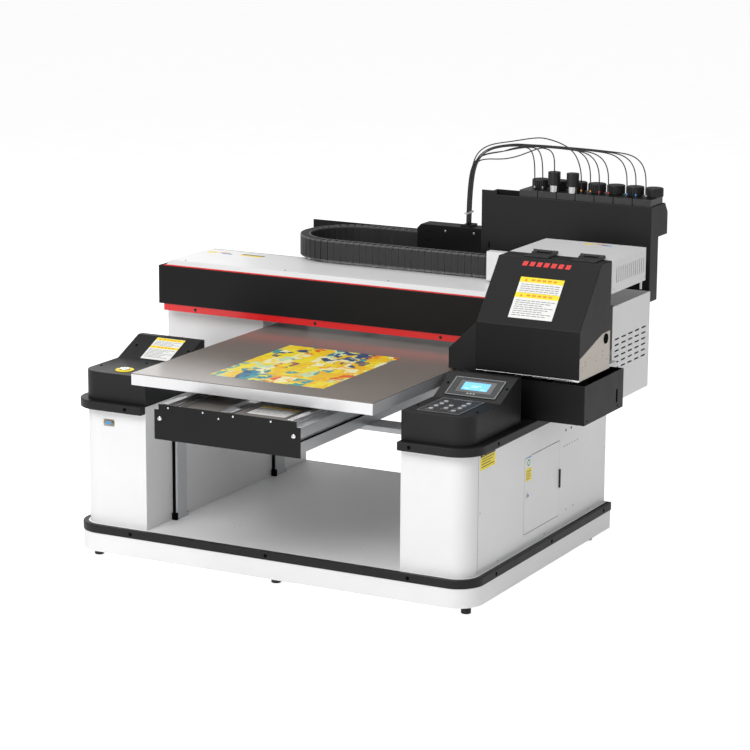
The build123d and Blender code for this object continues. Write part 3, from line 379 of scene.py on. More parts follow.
def lathe(bm, m, profile, sides=24, mat=0):
    """Turned solid about the local z; profile is (radius, z) from the axis out and back."""
    rings = []
    for radius, z in profile:
        if radius < 1e-6:
            rings.append([bm.verts.new(m @ Vector((0, 0, z)))])
        else:
            rings.append([
                bm.verts.new(m @ Vector((radius * cos(2 * pi * k / sides),
                                         radius * sin(2 * pi * k / sides), z)))
                for k in range(sides)
            ])
    for a, b in zip(rings, rings[1:]):
        for k in range(sides):
            j = (k + 1) % sides
            if len(a) == 1:
                face = bm.faces.new((a[0], b[k], b[j]))
            elif len(b) == 1:
                face = bm.faces.new((a[k], b[0], a[j]))
            else:
                face = bm.faces.new((a[k], b[k], b[j], a[j]))
            face.material_index = mat


def facing(origin, normal):
    """Local frame on a face: z along its normal, x level."""
    x_dir = RIGHT if normal[0] == 0 else (0, normal[0], 0)
    return basis(origin, x_dir, normal)


def screws(name, body, spots, r, h, mat=PLASTIC):
    """Button-head screws of radius r and height h at (point, normal) pairs, as one piece."""
    bm = bmesh.new()
    sunk = 0.6
    for point, normal in spots:
        m = facing(point, normal)
        lathe(bm, m, ((0, h * 0.35), (r * 0.42, h * 0.35), (r * 0.5, h), (r * 0.75, h * 0.92),
                      (r * 0.95, h * 0.55), (r, 0), (r, -sunk), (0, -sunk)), 18)
    place(name, bm, [mat], body, smooth=True)


# ---- carried-over CAD nodes --------------------------------------------------------
# limits, in metres, between the parts of one node that have different finishes
DOOR_KNUCKLE_X = 0.5503
LEG_PAD_TOP = 0.1042
DECK_PLATES, GROOVES = (0.463, 0.469), (0.4375, 0.4485)
LIP_TOP, LIP_BACK = 0.5368, -0.0812
BOX_KNUCKLE_Z = 0.8055
STIRRER_NECK_TOP = 0.9262
LEVEL_NORMAL = 0.9


def middle(face):
    return face.calc_center_median()


def rail_finish(face):
    """0 alloy, 1 the deck plates, 2 the shaded grooves."""
    if abs(face.normal.z) > LEVEL_NORMAL:
        if DECK_PLATES[0] < middle(face).z < DECK_PLATES[1]:
            return 1
        if GROOVES[0] < middle(face).z < GROOVES[1]:
            return 2
    return 0


edged("base_plinth", WHITE, 2.0)
edged("base_trim_band", BLACK, 2.0, merge=False)
edged("floor_plate", FLOOR_SHEET, 0.8)
edged("left_column", WHITE, 1.0)
edged("right_column", WHITE, 0.8)
edged("side_collars", BLACK, 2.0)
edged("left_housing", BLACK, 2.5)
edged("console_housing", BLACK, 2.5)
edged("power_button", CHROME, 0.6)
edged("control_overlays", OVERLAY, 0.4)
edged("lcd_screen", LCD_FRAME, 0.3)
edged("side_door", [WHITE, PLASTIC], 0.5,
      pick=lambda f: 1 if middle(f).x > DOOR_KNUCKLE_X else 0)
edged("door_lock", CHROME, 0.6)
edged("support_frame", [FRAME_PAINT, PLASTIC], 1.0,
      pick=lambda f: 1 if middle(f).z < LEG_PAD_TOP else 0)
edged("rail_beams", [ALLOY, DECK_GREY, DARK], 0.8, pick=rail_finish)
edged("beam_end_panels", BLACK_SATIN, 0.8)
edged("linear_rails", STEEL, 0.8)
edged("table_bearings", STEEL, 1.0)
edged("print_table", TABLE_EDGE, 1.2)
edged("table_top_sheet", TABLE_TOP, 0.5)
edged("table_screw", STEEL, 0.8)
edged("screw_supports", BLACK, 1.2)
edged("left_upright", WHITE, 0.8)
edged("right_upright", WHITE, 0.6)
edged("gantry_beam", ALLOY, 1.5)
edged("gantry_front_cover", BLACK_SATIN, 0.9)
edged("gantry_red_panel", RED, 0.9)
edged("gantry_top_cover", WHITE, 0.9)
edged("carriage_frame", ALLOY, 1.0)
edged("print_heads", PLASTIC, 1.5)
edged("hood_side_plates", [BEIGE, CHROME], 0.6,
      pick=lambda f: 1 if middle(f).z < LIP_TOP and middle(f).y < LIP_BACK else 0)
edged("rear_box", [WHITE, PLASTIC], 0.8, pick=lambda f: 1 if middle(f).z > BOX_KNUCKLE_Z else 0)
edged("hood_cover", BLACK_SATIN, 1.6)
edged("hood_hinges", PLASTIC, 0.8)
edged("uv_lamp", BLACK, 2.0)
edged("maintenance_tray", BLACK_SATIN, 1.6)
edged("capping_station", PLASTIC, 1.5)
edged("ink_cabinet", BLACK, 1.2)
edged("ink_tanks", TANK, 1.6)
edged("stirrer_motors", [PLASTIC, CHROME], 1.0,
      pick=lambda f: 1 if middle(f).z < STIRRER_NECK_TOP else 0)
edged("chain_tray", BLACK_SATIN, 1.0)
for k in range(1, 8):
    edged(f"ink_cap_{k}", PLASTIC, 0.6)

# levelling feet: turned pads with a hex nut on the stem
FOOT_X, FOOT_Y = 528, 368
bm = bmesh.new()
for x, y in [(x, y) for x in (-FOOT_X, 0, FOOT_X) for y in (-FOOT_Y, FOOT_Y)] + [(0, 0)]:
    m = facing((x, y, 0), UP)
    lathe(bm, m, ((0, 0), (11, 0), (12.5, 1.5), (12.5, 11), (11, 14), (7, 14), (6, 15), (6, 24),
                  (0, 24)), 32)
    lathe(bm, m, ((0, 16), (9.5, 16), (9.5, 22), (0, 22)), 6)
feet = place("levelling_feet_piece", bm, [PLASTIC], "base", bevel=0.4)
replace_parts(feet, "levelling_feet")

# ---- screws and small holes ----------------------------------------------------------
# faces that the screws stand on, in millimetres
BAND_Y, BAND_X, BAND_Z = 426.3, 569.8, 83.5
COLLAR_Y, COLLAR_X, COLLAR_Z = 428.8, 570.8, 409
HOUSING_TOP, SLOPE_START, SLOPE_RISE, SLOPE_RUN, SLOPE_ANGLE = 493, -236, 45, 99, 24.4
SLOPE_NORMAL = (0, -sin(radians(SLOPE_ANGLE)), cos(radians(SLOPE_ANGLE)))
GANTRY_Y, COVER_TOP = 142.9, 680
END_PANEL_Y, COLUMN_SIDE, COLUMN_BACK = 615.7, 549.9, 424
FLOOR_TOP, RAIL_TOP = 94, 489
CHAIN_BOX_Y, HINGE_TOP = 587.9, 808
CARRIAGE_SIDE, REAR_BOX_TOP = 688, 805
TRAY_SIDE, LIP_Y = 697, 85.4
UPRIGHT_SIDE, UPRIGHT_BACK = 659.9, 433.9

band = [((x, -BAND_Y, BAND_Z), FRONT) for x in (-395, 2, 398)]
band += [((BAND_X, y, BAND_Z), RIGHT) for y in (-288, 41, 375)]
band += [((-BAND_X, y, BAND_Z), LEFT) for y in (-288, 41, 375)]
band += [((x, BAND_Y, BAND_Z + 0.5), BACK) for x in (-420, 30, 420)]
screws("band_screws", "base", band, 5.2, 0.9, DARK)
collar = [((x, -COLLAR_Y, COLLAR_Z), FRONT) for x in (-405, 400)]
collar += [((side * COLLAR_X, y, COLLAR_Z), normal) for y in (-288, 300)
           for side, normal in ((1, RIGHT), (-1, LEFT))]
screws("collar_screws", "base", collar, 5.2, 0.9, DARK)


def on_slope(x, y):
    """Point just above the sloping part of a housing's top."""
    return (x, y, HOUSING_TOP + (y - SLOPE_START) * SLOPE_RISE / SLOPE_RUN + 0.1)


deck = [((x, y, HOUSING_TOP + 0.1), UP)
        for x, y in ((-533, -338), (-444, -263), (-377, -300), (378.5, -340), (537, -339))]
deck += [(on_slope(x, -181), SLOPE_NORMAL) for x in (-527, -368, 381, 540)]
screws("housing_screws", "base", deck, 3.6, 1.2, DARK)
screws("gantry_screws", "base", [((x, GANTRY_Y, 554), FRONT) for x in (-546, -174, 198)], 4.4, 1.8)
END_BOLTS, END_SCREWS = (-181, 191), (-158, -60, 24, 128)
screws("end_panel_bolts", "base",
       [((x, -END_PANEL_Y, 452), FRONT) for x in END_BOLTS]
       + [((x, END_PANEL_Y, 452), BACK) for x in END_BOLTS], 6.0, 4.5, CHROME)
screws("end_panel_screws", "base",
       [((x, -END_PANEL_Y, 480), FRONT) for x in END_SCREWS]
       + [((-16, -END_PANEL_Y, 470), FRONT)]
       + [((x, END_PANEL_Y, 480), BACK) for x in END_SCREWS], 2.6, 1.2, CHROME)
side = [((COLUMN_SIDE, y, z), RIGHT)
        for y, z in ((-241, 101), (36, 101), (314, 101), (-344, 246), (420, 244), (169, 134),
                     (214, 134))]
side += [((COLUMN_SIDE, 150 + 17 * k, 304.5), RIGHT) for k in range(6)]
screws("column_screws", "base", side, 1.9, 0.8, GREY_INK)
screws("column_plugs", "base", [((COLUMN_SIDE, y, 345), RIGHT) for y in (160, 193, 226)], 3.4, 0.7,
       DARK)
floor_spots = ((-180, -270), (-176, -249), (190, -270), (186, -249), (-180, 380), (190, 380))
screws("floor_screws", "base", [((x, y, FLOOR_TOP), UP) for x, y in floor_spots], 2.4, 0.5, ALLOY)
screws("top_cover_screws", "base", [((x, 183, COVER_TOP), UP) for x in (-600, -288, 23, 335)], 2.6,
       1.2, GREY_INK)
rail_bolts = [((x, -580 + 60 * k, RAIL_TOP), UP) for x in (-168, 178) for k in range(20)]
screws("rail_bolts", "base", rail_bolts, 4.0, 0.5, CHROME)
screws("chain_box_screws", "base", [((x, CHAIN_BOX_Y, 751), FRONT) for x in (-11, 76)], 3.4, 1.4,
       CHROME)
screws("chain_box_rivets", "base",
       [((x, CHAIN_BOX_Y, z), FRONT) for x in (-69, -60) for z in (748, 722, 698)], 1.8, 0.8, DARK)
hinge_spots = [((x + dx, y, HINGE_TOP), UP) for x in (506, 634) for dx in (-22, 22) for y in (64, 84)]
screws("hinge_screws", "hood", hinge_spots, 2.4, 0.8, PLASTIC)
plate_dots = ((-66, 566), (-66, 558), (-48, 576), (-48, 568), (-20, 583), (18, 578), (18, 568),
              (60, 585), (60, 573), (84, 560))
screws("side_plate_screws", "carriage", [((CARRIAGE_SIDE, y, z), RIGHT) for y, z in plate_dots],
       1.6, 0.7, GREY_INK)
screws("rear_box_screws", "carriage",
       [((CARRIAGE_SIDE, y, z), RIGHT) for y, z in ((318, 796), (318, 730), (122, 730))]
       + [((x, 318, REAR_BOX_TOP), UP) for x in (500, 620)], 2.4, 1.0, CHROME)
screws("tray_screws", "base", [((TRAY_SIDE, y, 430), RIGHT) for y in (143, -50)], 2.4, 1.0, DARK)
screws("hood_lip_screws", "carriage", [((x, -LIP_Y, 534), FRONT) for x in (520, 535)], 1.4, 0.6,
       CHROME)

# rubber grommet in the side plate
bm = bmesh.new()
lathe(bm, facing((CARRIAGE_SIDE, 77.7, 613), RIGHT),
      ((0, 0.4), (10.5, 0.4), (11.2, 1.6), (12.6, 1.6), (13, 0.8), (13, -0.4), (0, -0.4)), 36)
place("side_plate_grommet", bm, [DARK], "carriage", smooth=True)

# dark plates behind the vents of the right upright and of the rear box: painted shade seen through the
# slots
SHARED = Matrix.Identity(4)                 # the shared frame itself
bm = bmesh.new()
plate(bm, SHARED, 655, 656.5, 189.5, 424, 495, 598)
place("upright_vent_painted_shade", bm, [DARK], "base")
bm = bmesh.new()
plate(bm, SHARED, 683, 684.5, 134, 318, 738, 788)
place("rear_box_vent_painted_shade", bm, [DARK], "carriage")

# dark strips in the gaps between the support legs and the left column: painted shade in the gaps
bm = bmesh.new()
for y in (-278, 235):
    plate(bm, SHARED, -357, -350, y - 4, y - 0.4, 96, 396)
    plate(bm, SHARED, -357, -343, y - 9, y - 0.4, FLOOR_TOP, 112)
place("leg_gap_painted_shade", bm, [DARK], "base")

# seams: the wrapped front sheet of the right column, and its mirror on the left
COLUMN_X, SEAM_HALF = 550, 149
bm = bmesh.new()
for x, normal in ((COLUMN_X, RIGHT), (-COLUMN_X, LEFT)):
    m = facing((x, -355, 246), normal)
    plate(bm, m, -0.7, 0.7, -SEAM_HALF, SEAM_HALF, -0.3, 0.12)
place("column_seams", bm, [GREY_INK], "base")

# rear service panels with louvres drawn as flat dark bars, painted shade of the openings, and their
# screws
LOUVRE_ROWS, LOUVRE_PITCH, LOUVRE_STEP = 9, 42, 9
LOUVRE_HALF, LOUVRE_HEIGHT, LOUVRE_LOW = 17, 2, 20
bm = bmesh.new()
panel_screws = []
for x0, x1 in ((-532, -376), (386, 532)):
    half = (x1 - x0) / 2
    m = facing(((x0 + x1) / 2, COLUMN_BACK, 255), BACK)
    plate(bm, m, -half, half, -130, 120, -0.3, 1.2, 0, 5)
    for row in range(LOUVRE_ROWS):
        for column in (-1, 0, 1):
            x, y = column * LOUVRE_PITCH, LOUVRE_LOW + row * LOUVRE_STEP
            plate(bm, m, x - LOUVRE_HALF, x + LOUVRE_HALF, y - LOUVRE_HEIGHT, y + LOUVRE_HEIGHT,
                  1.2, 1.5, 1, 1.9)
    panel_screws += [((x, COLUMN_BACK + 1.1, z), BACK) for x in (x0 + 9, x1 - 9) for z in (134, 366)]
place("rear_service_panels", bm, [WHITE, DARK], "base", bevel=0.3)
panel_screws += [((x, UPRIGHT_BACK, z), BACK) for x in (-640, -380, 390, 640) for z in (440, 545)]
screws("rear_panel_screws", "base", panel_screws, 3.2, 1.4, CHROME)
side_screws = [((-UPRIGHT_SIDE, y, z), LEFT) for y in (204, 416) for z in (440, 650)]
side_screws += [((-COLUMN_SIDE, y, z), LEFT) for y in (-330, -60, 160) for z in (112, 385)]
screws("left_side_screws", "base", side_screws, 2.6, 1.0, GREY_INK)

# ---- labels (plain bands and bars, no lettering) --------------------------------------
# shares of a sticker's width, its height for BAR_HALF, and a band's height for the last row
MARGIN, BAR_WIDTH, BAR_SPREAD, BAR_GAP, BAR_HALF = 0.44, 0.07, 0.05, 0.018, 0.008
TRIANGLE_AT, BLOCK_START, BLOCK_STEP, BLOCK_WIDTH = 0.36, 0.24, 0.125, 0.085
TRIANGLE_SIZE, BLOCK_HEIGHT, BLOCKS = 0.32, 0.6, 5
PAPER_THICK, BAND_THICK, BAR_THICK = 0.35, 0.1, 0.08
STICKER_THICK = 0.3


def label(name, body, m, width, height, bands, lines):
    """White sticker in a local frame, with yellow bands and rows of short grey bars.

    Each band has a plain triangle and a row of blocks.
    bands are (low, high) across the sticker; lines are (height, share of the width filled).
    """
    bm = bmesh.new()
    top = PAPER_THICK
    plate(bm, m, -width / 2, width / 2, -height / 2, height / 2, 0, top, 0, 1.5)
    for low, high in bands:
        z0, z1 = top + BAND_THICK, top + 2 * BAND_THICK
        plate(bm, m, -width / 2, width / 2, low, high, top, z0, 1)
        mid, size, at = (low + high) / 2, (high - low) * TRIANGLE_SIZE, -width * TRIANGLE_AT
        prism(bm, m, [(at - size, mid - size), (at + size, mid - size), (at, mid + size)], z0, z1, 3)
        for k in range(BLOCKS):
            x0 = -width * BLOCK_START + k * width * BLOCK_STEP
            plate(bm, m, x0, x0 + width * BLOCK_WIDTH, mid - size * BLOCK_HEIGHT,
                  mid + size * BLOCK_HEIGHT, z0, z1, 3)
    left, right = -width * MARGIN, width * MARGIN
    for k, (y, share) in enumerate(lines):
        x, step = left, 0
        while x < left + width * 2 * MARGIN * share:
            end = min(x + width * (BAR_WIDTH + BAR_SPREAD * ((k * 7 + step * 5) % 4) / 3), right)
            plate(bm, m, x, end, y - height * BAR_HALF, y + height * BAR_HALF, top, top + BAR_THICK,
                  2)
            x, step = end + width * BAR_GAP, step + 1
    place(name, bm, [PAPER, YELLOW, GREY_INK, ORANGE_INK], body)


hood_normal = Vector((0, -148, 126)).normalized()
hood_face = hood_normal * 0.1               # a tenth of a millimetre clear of the hood
label("hood_label", "hood", basis(Vector((547, -33.1, 718.1)) + hood_face, RIGHT, hood_normal),
      118, 117, ((44, 58.5), (0, 14)),
      [(38 - 6 * k, 1.0 if k < 5 else 0.45) for k in range(6)]
      + [(-8 - 6 * k, 0.95 - 0.12 * (k % 3)) for k in range(8)])
label("left_label", "base", basis((-442.5, -185.5, 516.1), RIGHT, SLOPE_NORMAL),
      86, 94, ((36, 46), (2, 11)),
      [(31 - 5.5 * k, 0.95 - 0.2 * (k % 2)) for k in range(5)]
      + [(-4 - 5.5 * k, 0.9 - 0.15 * (k % 3)) for k in range(7)])
label("deck_label", "base", basis((60, -480, 468.1), RIGHT, UP), 106, 84, ((28, 40),),
      [(20 - 8 * k, 0.9 - 0.25 * (k % 3)) for k in range(7)])

# generic red mark on the hood: a row of slanted dashes
bm = bmesh.new()
m = basis(Vector((545.5, 29.5, 791.5)) + hood_face, RIGHT, hood_normal)
DASHES, DASH_PITCH, DASH_WIDTH, DASH_LEAN = 7, 19.4, 13.0, 2.6
for k in range(DASHES):
    x = -66 + k * DASH_PITCH
    prism(bm, m, [(x, -6), (x + DASH_WIDTH, -6), (x + (DASH_WIDTH + DASH_LEAN), 7),
                  (x + DASH_LEAN, 7)], 0, 0.4)
place("hood_mark", bm, [RED_INK], "hood")

# small coloured stickers on the white covers
COVER_STICKERS = ((-58, -30, -9, 9, 0), (-24, 10, 1, 10, 1), (-10, 22, -10, -1, 2),
                  (48, 118, -11, 1, 3), (48, 118, 1, 11, 4))
BOX_STICKERS = ((-44, -18, -7, 7, 0), (-12, 18, 1, 8, 1), (6, 34, -8, 0, 2))
bm = bmesh.new()
m = basis((-560, 333, COVER_TOP), RIGHT, UP)
for x0, x1, y0, y1, mat in COVER_STICKERS:
    plate(bm, m, x0, x1, y0, y1, 0, STICKER_THICK, mat, 1.5)
place("top_stickers", bm, [YELLOW, ORANGE_INK, BLUE_INK, YELLOW, BLACK_INK], "base")
bm = bmesh.new()
m = basis((572, 302, REAR_BOX_TOP), RIGHT, UP)
for x0, x1, y0, y1, mat in BOX_STICKERS:
    plate(bm, m, x0, x1, y0, y1, 0, STICKER_THICK, mat, 1.5)
place("rear_box_stickers", bm, [YELLOW, ORANGE_INK, BLUE_INK], "carriage")

# yellow sticker on the right column: plain bars, dashes and a triangle
LABEL_HALF, LABEL_LOW, LABEL_FOLD, LABEL_HIGH = 41, -23, 9, 23
bm = bmesh.new()
m = facing((COLUMN_X, -304, 374), RIGHT)
plate(bm, m, -LABEL_HALF, LABEL_HALF, LABEL_LOW, LABEL_FOLD, 0, STICKER_THICK, 0, 2)
plate(bm, m, -LABEL_HALF, LABEL_HALF, LABEL_FOLD, LABEL_HIGH, 0, STICKER_THICK, 1, 2)
prism(bm, m, [(-30, 11), (-18, 11), (-24, 21)], STICKER_THICK, 0.45, 2)
for k in range(4):
    plate(bm, m, -10 + k * 11, -2 + k * 11, 12.5, 18, STICKER_THICK, 0.4, 2 if k < 2 else 3)
for k in range(4):
    plate(bm, m, -34, 34 - 9 * (k % 3), 3 - k * 6.5, 5 - k * 6.5, STICKER_THICK, 0.4, 1)
place("column_label", bm, [YELLOW, BLACK_INK, ORANGE_INK, PAPER], "base")

# stickers on the service door: a green ring over a yellow field with bars
DOOR_STICKER_HALF, DOOR_STICKER_THICK, DOOR_INK_TOP, RING_Z = 17, 0.25, 0.35, 0.2
bm = bmesh.new()
m = facing((COLUMN_X, -66, 294), RIGHT)
for low, mat in ((2, 3), (-30, 0)):
    plate(bm, m, -DOOR_STICKER_HALF, DOOR_STICKER_HALF, low, low + 32, 0, DOOR_STICKER_THICK, mat, 2)
ring = m @ Matrix.Translation((0, 16, RING_Z))
lathe(bm, ring, ((0, 0.2), (9, 0.2), (9, 0), (0, 0)), 20, 1)
lathe(bm, ring, ((0, 0.3), (5, 0.3), (5, 0), (0, 0)), 20, 3)
plate(bm, m, -15, 15, 28, 31, RING_Z, DOOR_INK_TOP, 2)
for k in range(4):
    plate(bm, m, -13, 13 - 6 * (k % 2), -7 - k * 6, -5 - k * 6, RING_Z, DOOR_INK_TOP, 4)
place("door_sticker", bm, [YELLOW, GREEN_INK, BLUE_INK, PAPER, GREY_INK], "door")
bm = bmesh.new()
lathe(bm, facing((COLUMN_X + 2, -71, 226), RIGHT), ((0, 0.8), (3.6, 0.8), (4.4, 0), (0, 0)), 20)
place("lock_centre", bm, [BLUE_INK], "lock", smooth=True)

# ---- power button ring and symbol -------------------------------------------------------
BUTTON_X, BUTTON_Y, BUTTON_TOP = -450, -356, 498
SYMBOL_STEPS, SYMBOL_START, SYMBOL_SWEEP = 13, 125, 290
SYMBOL_IN, SYMBOL_OUT, SYMBOL_LOW, SYMBOL_HIGH = 5, 6.4, -0.2, 0.25
bm = bmesh.new()
m = facing((BUTTON_X, BUTTON_Y, HOUSING_TOP), UP)
lathe(bm, m, ((14.2, 0), (14.2, 1.6), (15, 2.2), (23, 2.2), (24, 1.4), (24, 0)), 40)
place("button_ring", bm, [YELLOW], "base", smooth=True)
bm = bmesh.new()
m = facing((BUTTON_X, BUTTON_Y, BUTTON_TOP), UP)
for k in range(SYMBOL_STEPS):
    a = radians(SYMBOL_START + SYMBOL_SWEEP * k / SYMBOL_STEPS)
    b = radians(SYMBOL_START + SYMBOL_SWEEP * (k + 1) / SYMBOL_STEPS)
    prism(bm, m, [(SYMBOL_IN * cos(a), SYMBOL_IN * sin(a)), (SYMBOL_OUT * cos(a), SYMBOL_OUT * sin(a)),
                  (SYMBOL_OUT * cos(b), SYMBOL_OUT * sin(b)), (SYMBOL_IN * cos(b), SYMBOL_IN * sin(b))],
          SYMBOL_LOW, SYMBOL_HIGH)
plate(bm, m, -0.7, 0.7, 1, 7.5, SYMBOL_LOW, SYMBOL_HIGH)
place("button_symbol", bm, [BLACK_INK], "button")

# ---- console details -------------------------------------------------------------------
OVERLAY_TOP, PRINT_THICK = 494, 0.12        # the keypad's membrane and the print on it
DISPLAY_LINES = ((-12, 14, 2), (-28, -14, -9), (16, 28, -10), (-12, 6, -3))
DISPLAY_LOW, DISPLAY_TOP, LINE_TOP, LINE_HALF = 1.2, 1.35, 1.4, 1.0
slope = basis((459.5, -186.5, 515.5), RIGHT, SLOPE_NORMAL)
bm = bmesh.new()
plate(bm, slope, -35, 35, -15.4, 15.9, DISPLAY_LOW, DISPLAY_TOP, 0, 1)
for x0, x1, y in DISPLAY_LINES:
    plate(bm, slope, x0, x1, y - LINE_HALF, y + LINE_HALF, DISPLAY_TOP, LINE_TOP, 1)
place("display_window", bm, [LCD, LCD_LINE], "base")
bm = bmesh.new()
for x in (-9.5, -1, 7.5):
    lathe(bm, slope @ Matrix.Translation((x, -30, 2.0)), ((0, 0.5), (2.4, 0.5), (2.6, 0), (0, 0)), 16)
for x0, x1, y0, y1 in ((-66, 67, 32.0, 33.0), (-66, 67, -40.0, -39.0), (-66, -65, -40, 33),
                       (66, 67, -40, 33)):
    plate(bm, slope, x0, x1, y0, y1, 2.0, 2.0 + PRINT_THICK)
m = facing((459.5, -246, OVERLAY_TOP), UP)
for k in range(6):
    plate(bm, m, -30 + 9 * k, -25 + 9 * k, -1.5, 1.5, 0, PRINT_THICK)
place("console_markings", bm, [KEY], "base")
KEYS = ((421, -272), (422, -298), (420, -324), (421, -355), (452, -308), (453, -338), (481, -270),
        (481, -297), (483, -323), (481, -354))
bm = bmesh.new()
for x, y in KEYS:
    m = facing((x, y, OVERLAY_TOP), UP)
    lathe(bm, m, ((0, 0.9), (4.6, 0.9), (5.7, 0.6), (6.3, 0), (0, 0)), 22)
    plate(bm, m, -10.5, 10.5, -12.8, -11.6, 0, PRINT_THICK)
m = facing((454, -313.5, OVERLAY_TOP), UP)
for x0, x1, y0, y1 in ((-55, 55, 71, 71.8), (-55, 55, -71.8, -71), (-55.5, -54.7, -71, 71),
                       (54.7, 55.5, -71, 71)):
    plate(bm, m, x0, x1, y0, y1, 0, PRINT_THICK)
place("keypad_keys", bm, [KEY], "base", smooth=True)

# ---- data socket on the left column -------------------------------------------------------
FLANGE_TOP, SHELL_TOP = 1.0, 4.5
bm = bmesh.new()
m = facing((-467, -405.2, 364), FRONT)
plate(bm, m, -15.5, 15.5, -8.5, 8.5, -0.2, FLANGE_TOP, 0, 2)
prism(bm, m, [(-9, -5.5), (9, -5.5), (10.5, 5.5), (-10.5, 5.5)], FLANGE_TOP, SHELL_TOP, 0)
prism(bm, m, [(-6.4, -3.2), (6.4, -3.2), (7.4, 3.2), (-7.4, 3.2)], SHELL_TOP, SHELL_TOP + 0.2, 1)
for x in (-12.7, 12.7):
    lathe(bm, m @ Matrix.Translation((x, 0, 1)),
          ((0, 3.6), (1.2, 3.6), (2.4, 3.6), (2.4, 0), (0, 0)), 6, 0)
place("data_socket", bm, [SOCKET, BLUE_INK], "base")

# ---- printed sheet on the table ---------------------------------------------------------
SHEET_HALF_X, SHEET_HALF_Y, SHEET_THICK = 161, 202, 0.5
bm = bmesh.new()
m = basis((6, -226, 527), RIGHT, UP)
plate(bm, m, -SHEET_HALF_X, SHEET_HALF_X, -SHEET_HALF_Y, SHEET_HALF_Y, 0, SHEET_THICK)
place("printed_sheet", bm, [ARTWORK], "table")

# ---- tank fittings, coloured collars, and zip tie -------------------------------------------
FITTINGS, FITTING_Y, FITTING_Z = (315, 338, 449, 475, 500, 526, 578, 603, 631), 457, 914
TIPS = ((TIP_WHITE,) * 2 + (ORANGE_INK,) * 2 + (RED_INK,) * 2 + (BLUE_INK,) * 2 + (TIP_WHITE,))
for k, (x, mat) in enumerate(zip(FITTINGS, TIPS), start=1):
    bm = bmesh.new()
    lathe(bm, facing((x, FITTING_Y, FITTING_Z), UP),
          ((0, 0), (2.4, 0), (2.5, 1), (2.2, 3), (1.8, 4.5), (0, 4.5)), 16)
    place(f"tube_collar_{k}", bm, [mat], "base", smooth=True)
EXIT_X, EXIT_Y, EXIT_Z = 50, 596, 772       # where the first tube leaves the chain's box
EXIT_STEP_X, EXIT_STEP_Y = 0.6, 4.2         # from each tube to the next
TUBES, TUBE_RADIUS = 10, 1.6
TIE_X, TIE_Z, TIE_RADIUS, TIE_HEIGHT, TIE_STEPS = 47.6, 802, 5.0, 5, 10
bm = bmesh.new()
outline = []
for cy, start in ((EXIT_Y + EXIT_STEP_Y * (TUBES - 1), 0), (EXIT_Y, 180)):
    for k in range(TIE_STEPS + 1):
        a = radians(start + 180 / TIE_STEPS * k)
        outline.append((TIE_RADIUS * cos(a), cy + TIE_RADIUS * sin(a)))
prism(bm, Matrix.Translation((TIE_X, 0, TIE_Z)), outline, 0, TIE_HEIGHT)
place("bundle_tie", bm, [PAPER], "base", bevel=0.8)

# ---- cable chain --------------------------------------------------------------------------
CHAIN_Z, CHAIN_HEIGHT, CHAIN_THICK = 686.0, 57.0, 28.0
CHAIN_Y, CHAIN_RADIUS, BEND_X, CARRIAGE_END_X = 332.0, 145.0, -240.0, 252.0
FRONT_LINKS, BEND_LINKS, BACK_LINKS, BACK_PITCH = 25, 21, 19, 20
FLANK, TAB_IN, TAB_OUT, RIM = 3.2, 4, 0.9, 4
CROSSBAR_LIFT = 0.6


def link(bm, m, length):
    """One chain link, built along local x: two flanks with a raised tab, and crossbars."""
    half, t = length / 2, CHAIN_THICK / 2
    for flank in (-1, 1):
        y0, y1 = sorted((flank * t, flank * (t - FLANK)))
        plate(bm, m, -half + 0.7, half - 0.7, y0, y1, 3, CHAIN_HEIGHT - RIM, 0)
        tab = sorted((flank * (t - TAB_OUT), flank * (t - TAB_IN)))
        plate(bm, m, -half - 0.7, -half + 3.4, *tab, 6, CHAIN_HEIGHT - 7, 0)
        # lighter rims, along the flank's lower and upper edges
        for z0 in (0, CHAIN_HEIGHT - RIM):
            plate(bm, m, -half + 0.5, half - 0.5, y0, y1, z0, z0 + RIM, 1)
    for z0 in (CROSSBAR_LIFT, CHAIN_HEIGHT - RIM - CROSSBAR_LIFT):
        plate(bm, m, -half + 4, half - 4, -t + FLANK, t - FLANK, z0, z0 + RIM, 0)


def steady(obj):
    """Bakes obj's placement into its mesh, so that it stands in the shared frame.
    """
    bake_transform(obj)


def chain_piece(name, bm):
    return place(name, bm, [CHAIN, CHAIN_RIM], None, bevel=0.7)


chain_pieces = []
pitch = (CARRIAGE_END_X - BEND_X) / FRONT_LINKS
for k in range(FRONT_LINKS):
    bm = bmesh.new()
    x = BEND_X + (k + 0.5) * pitch
    link(bm, basis((x, CHAIN_Y + CHAIN_THICK / 2, CHAIN_Z), RIGHT, UP), pitch)
    piece = chain_piece(f"chain_link_{k + 1}", bm)
    steady(piece)
    chain_pieces.append(piece)
bm = bmesh.new()
centre = Vector((BEND_X, CHAIN_Y + CHAIN_RADIUS, 0))
bend_radius = CHAIN_RADIUS - CHAIN_THICK / 2
for k in range(BEND_LINKS):
    a = radians(-90 - 180 * (k + 0.5) / BEND_LINKS)
    spot = centre + Vector((bend_radius * cos(a), bend_radius * sin(a), CHAIN_Z))
    link(bm, basis(spot, (-sin(a), cos(a), 0), UP), bend_radius * pi / BEND_LINKS)
bend = chain_piece("chain_bend", bm)
steady(bend)
bm = bmesh.new()
back_y = CHAIN_Y + 2 * CHAIN_RADIUS - CHAIN_THICK / 2
for k in range(BACK_LINKS):
    link(bm, basis((BEND_X + (k + 0.5) * BACK_PITCH, back_y, CHAIN_Z), RIGHT, UP), BACK_PITCH)
back = chain_piece("chain_back_run", bm)
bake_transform(back)
for piece in chain_pieces + [bend, back]:
    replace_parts(piece, "cable_chain")

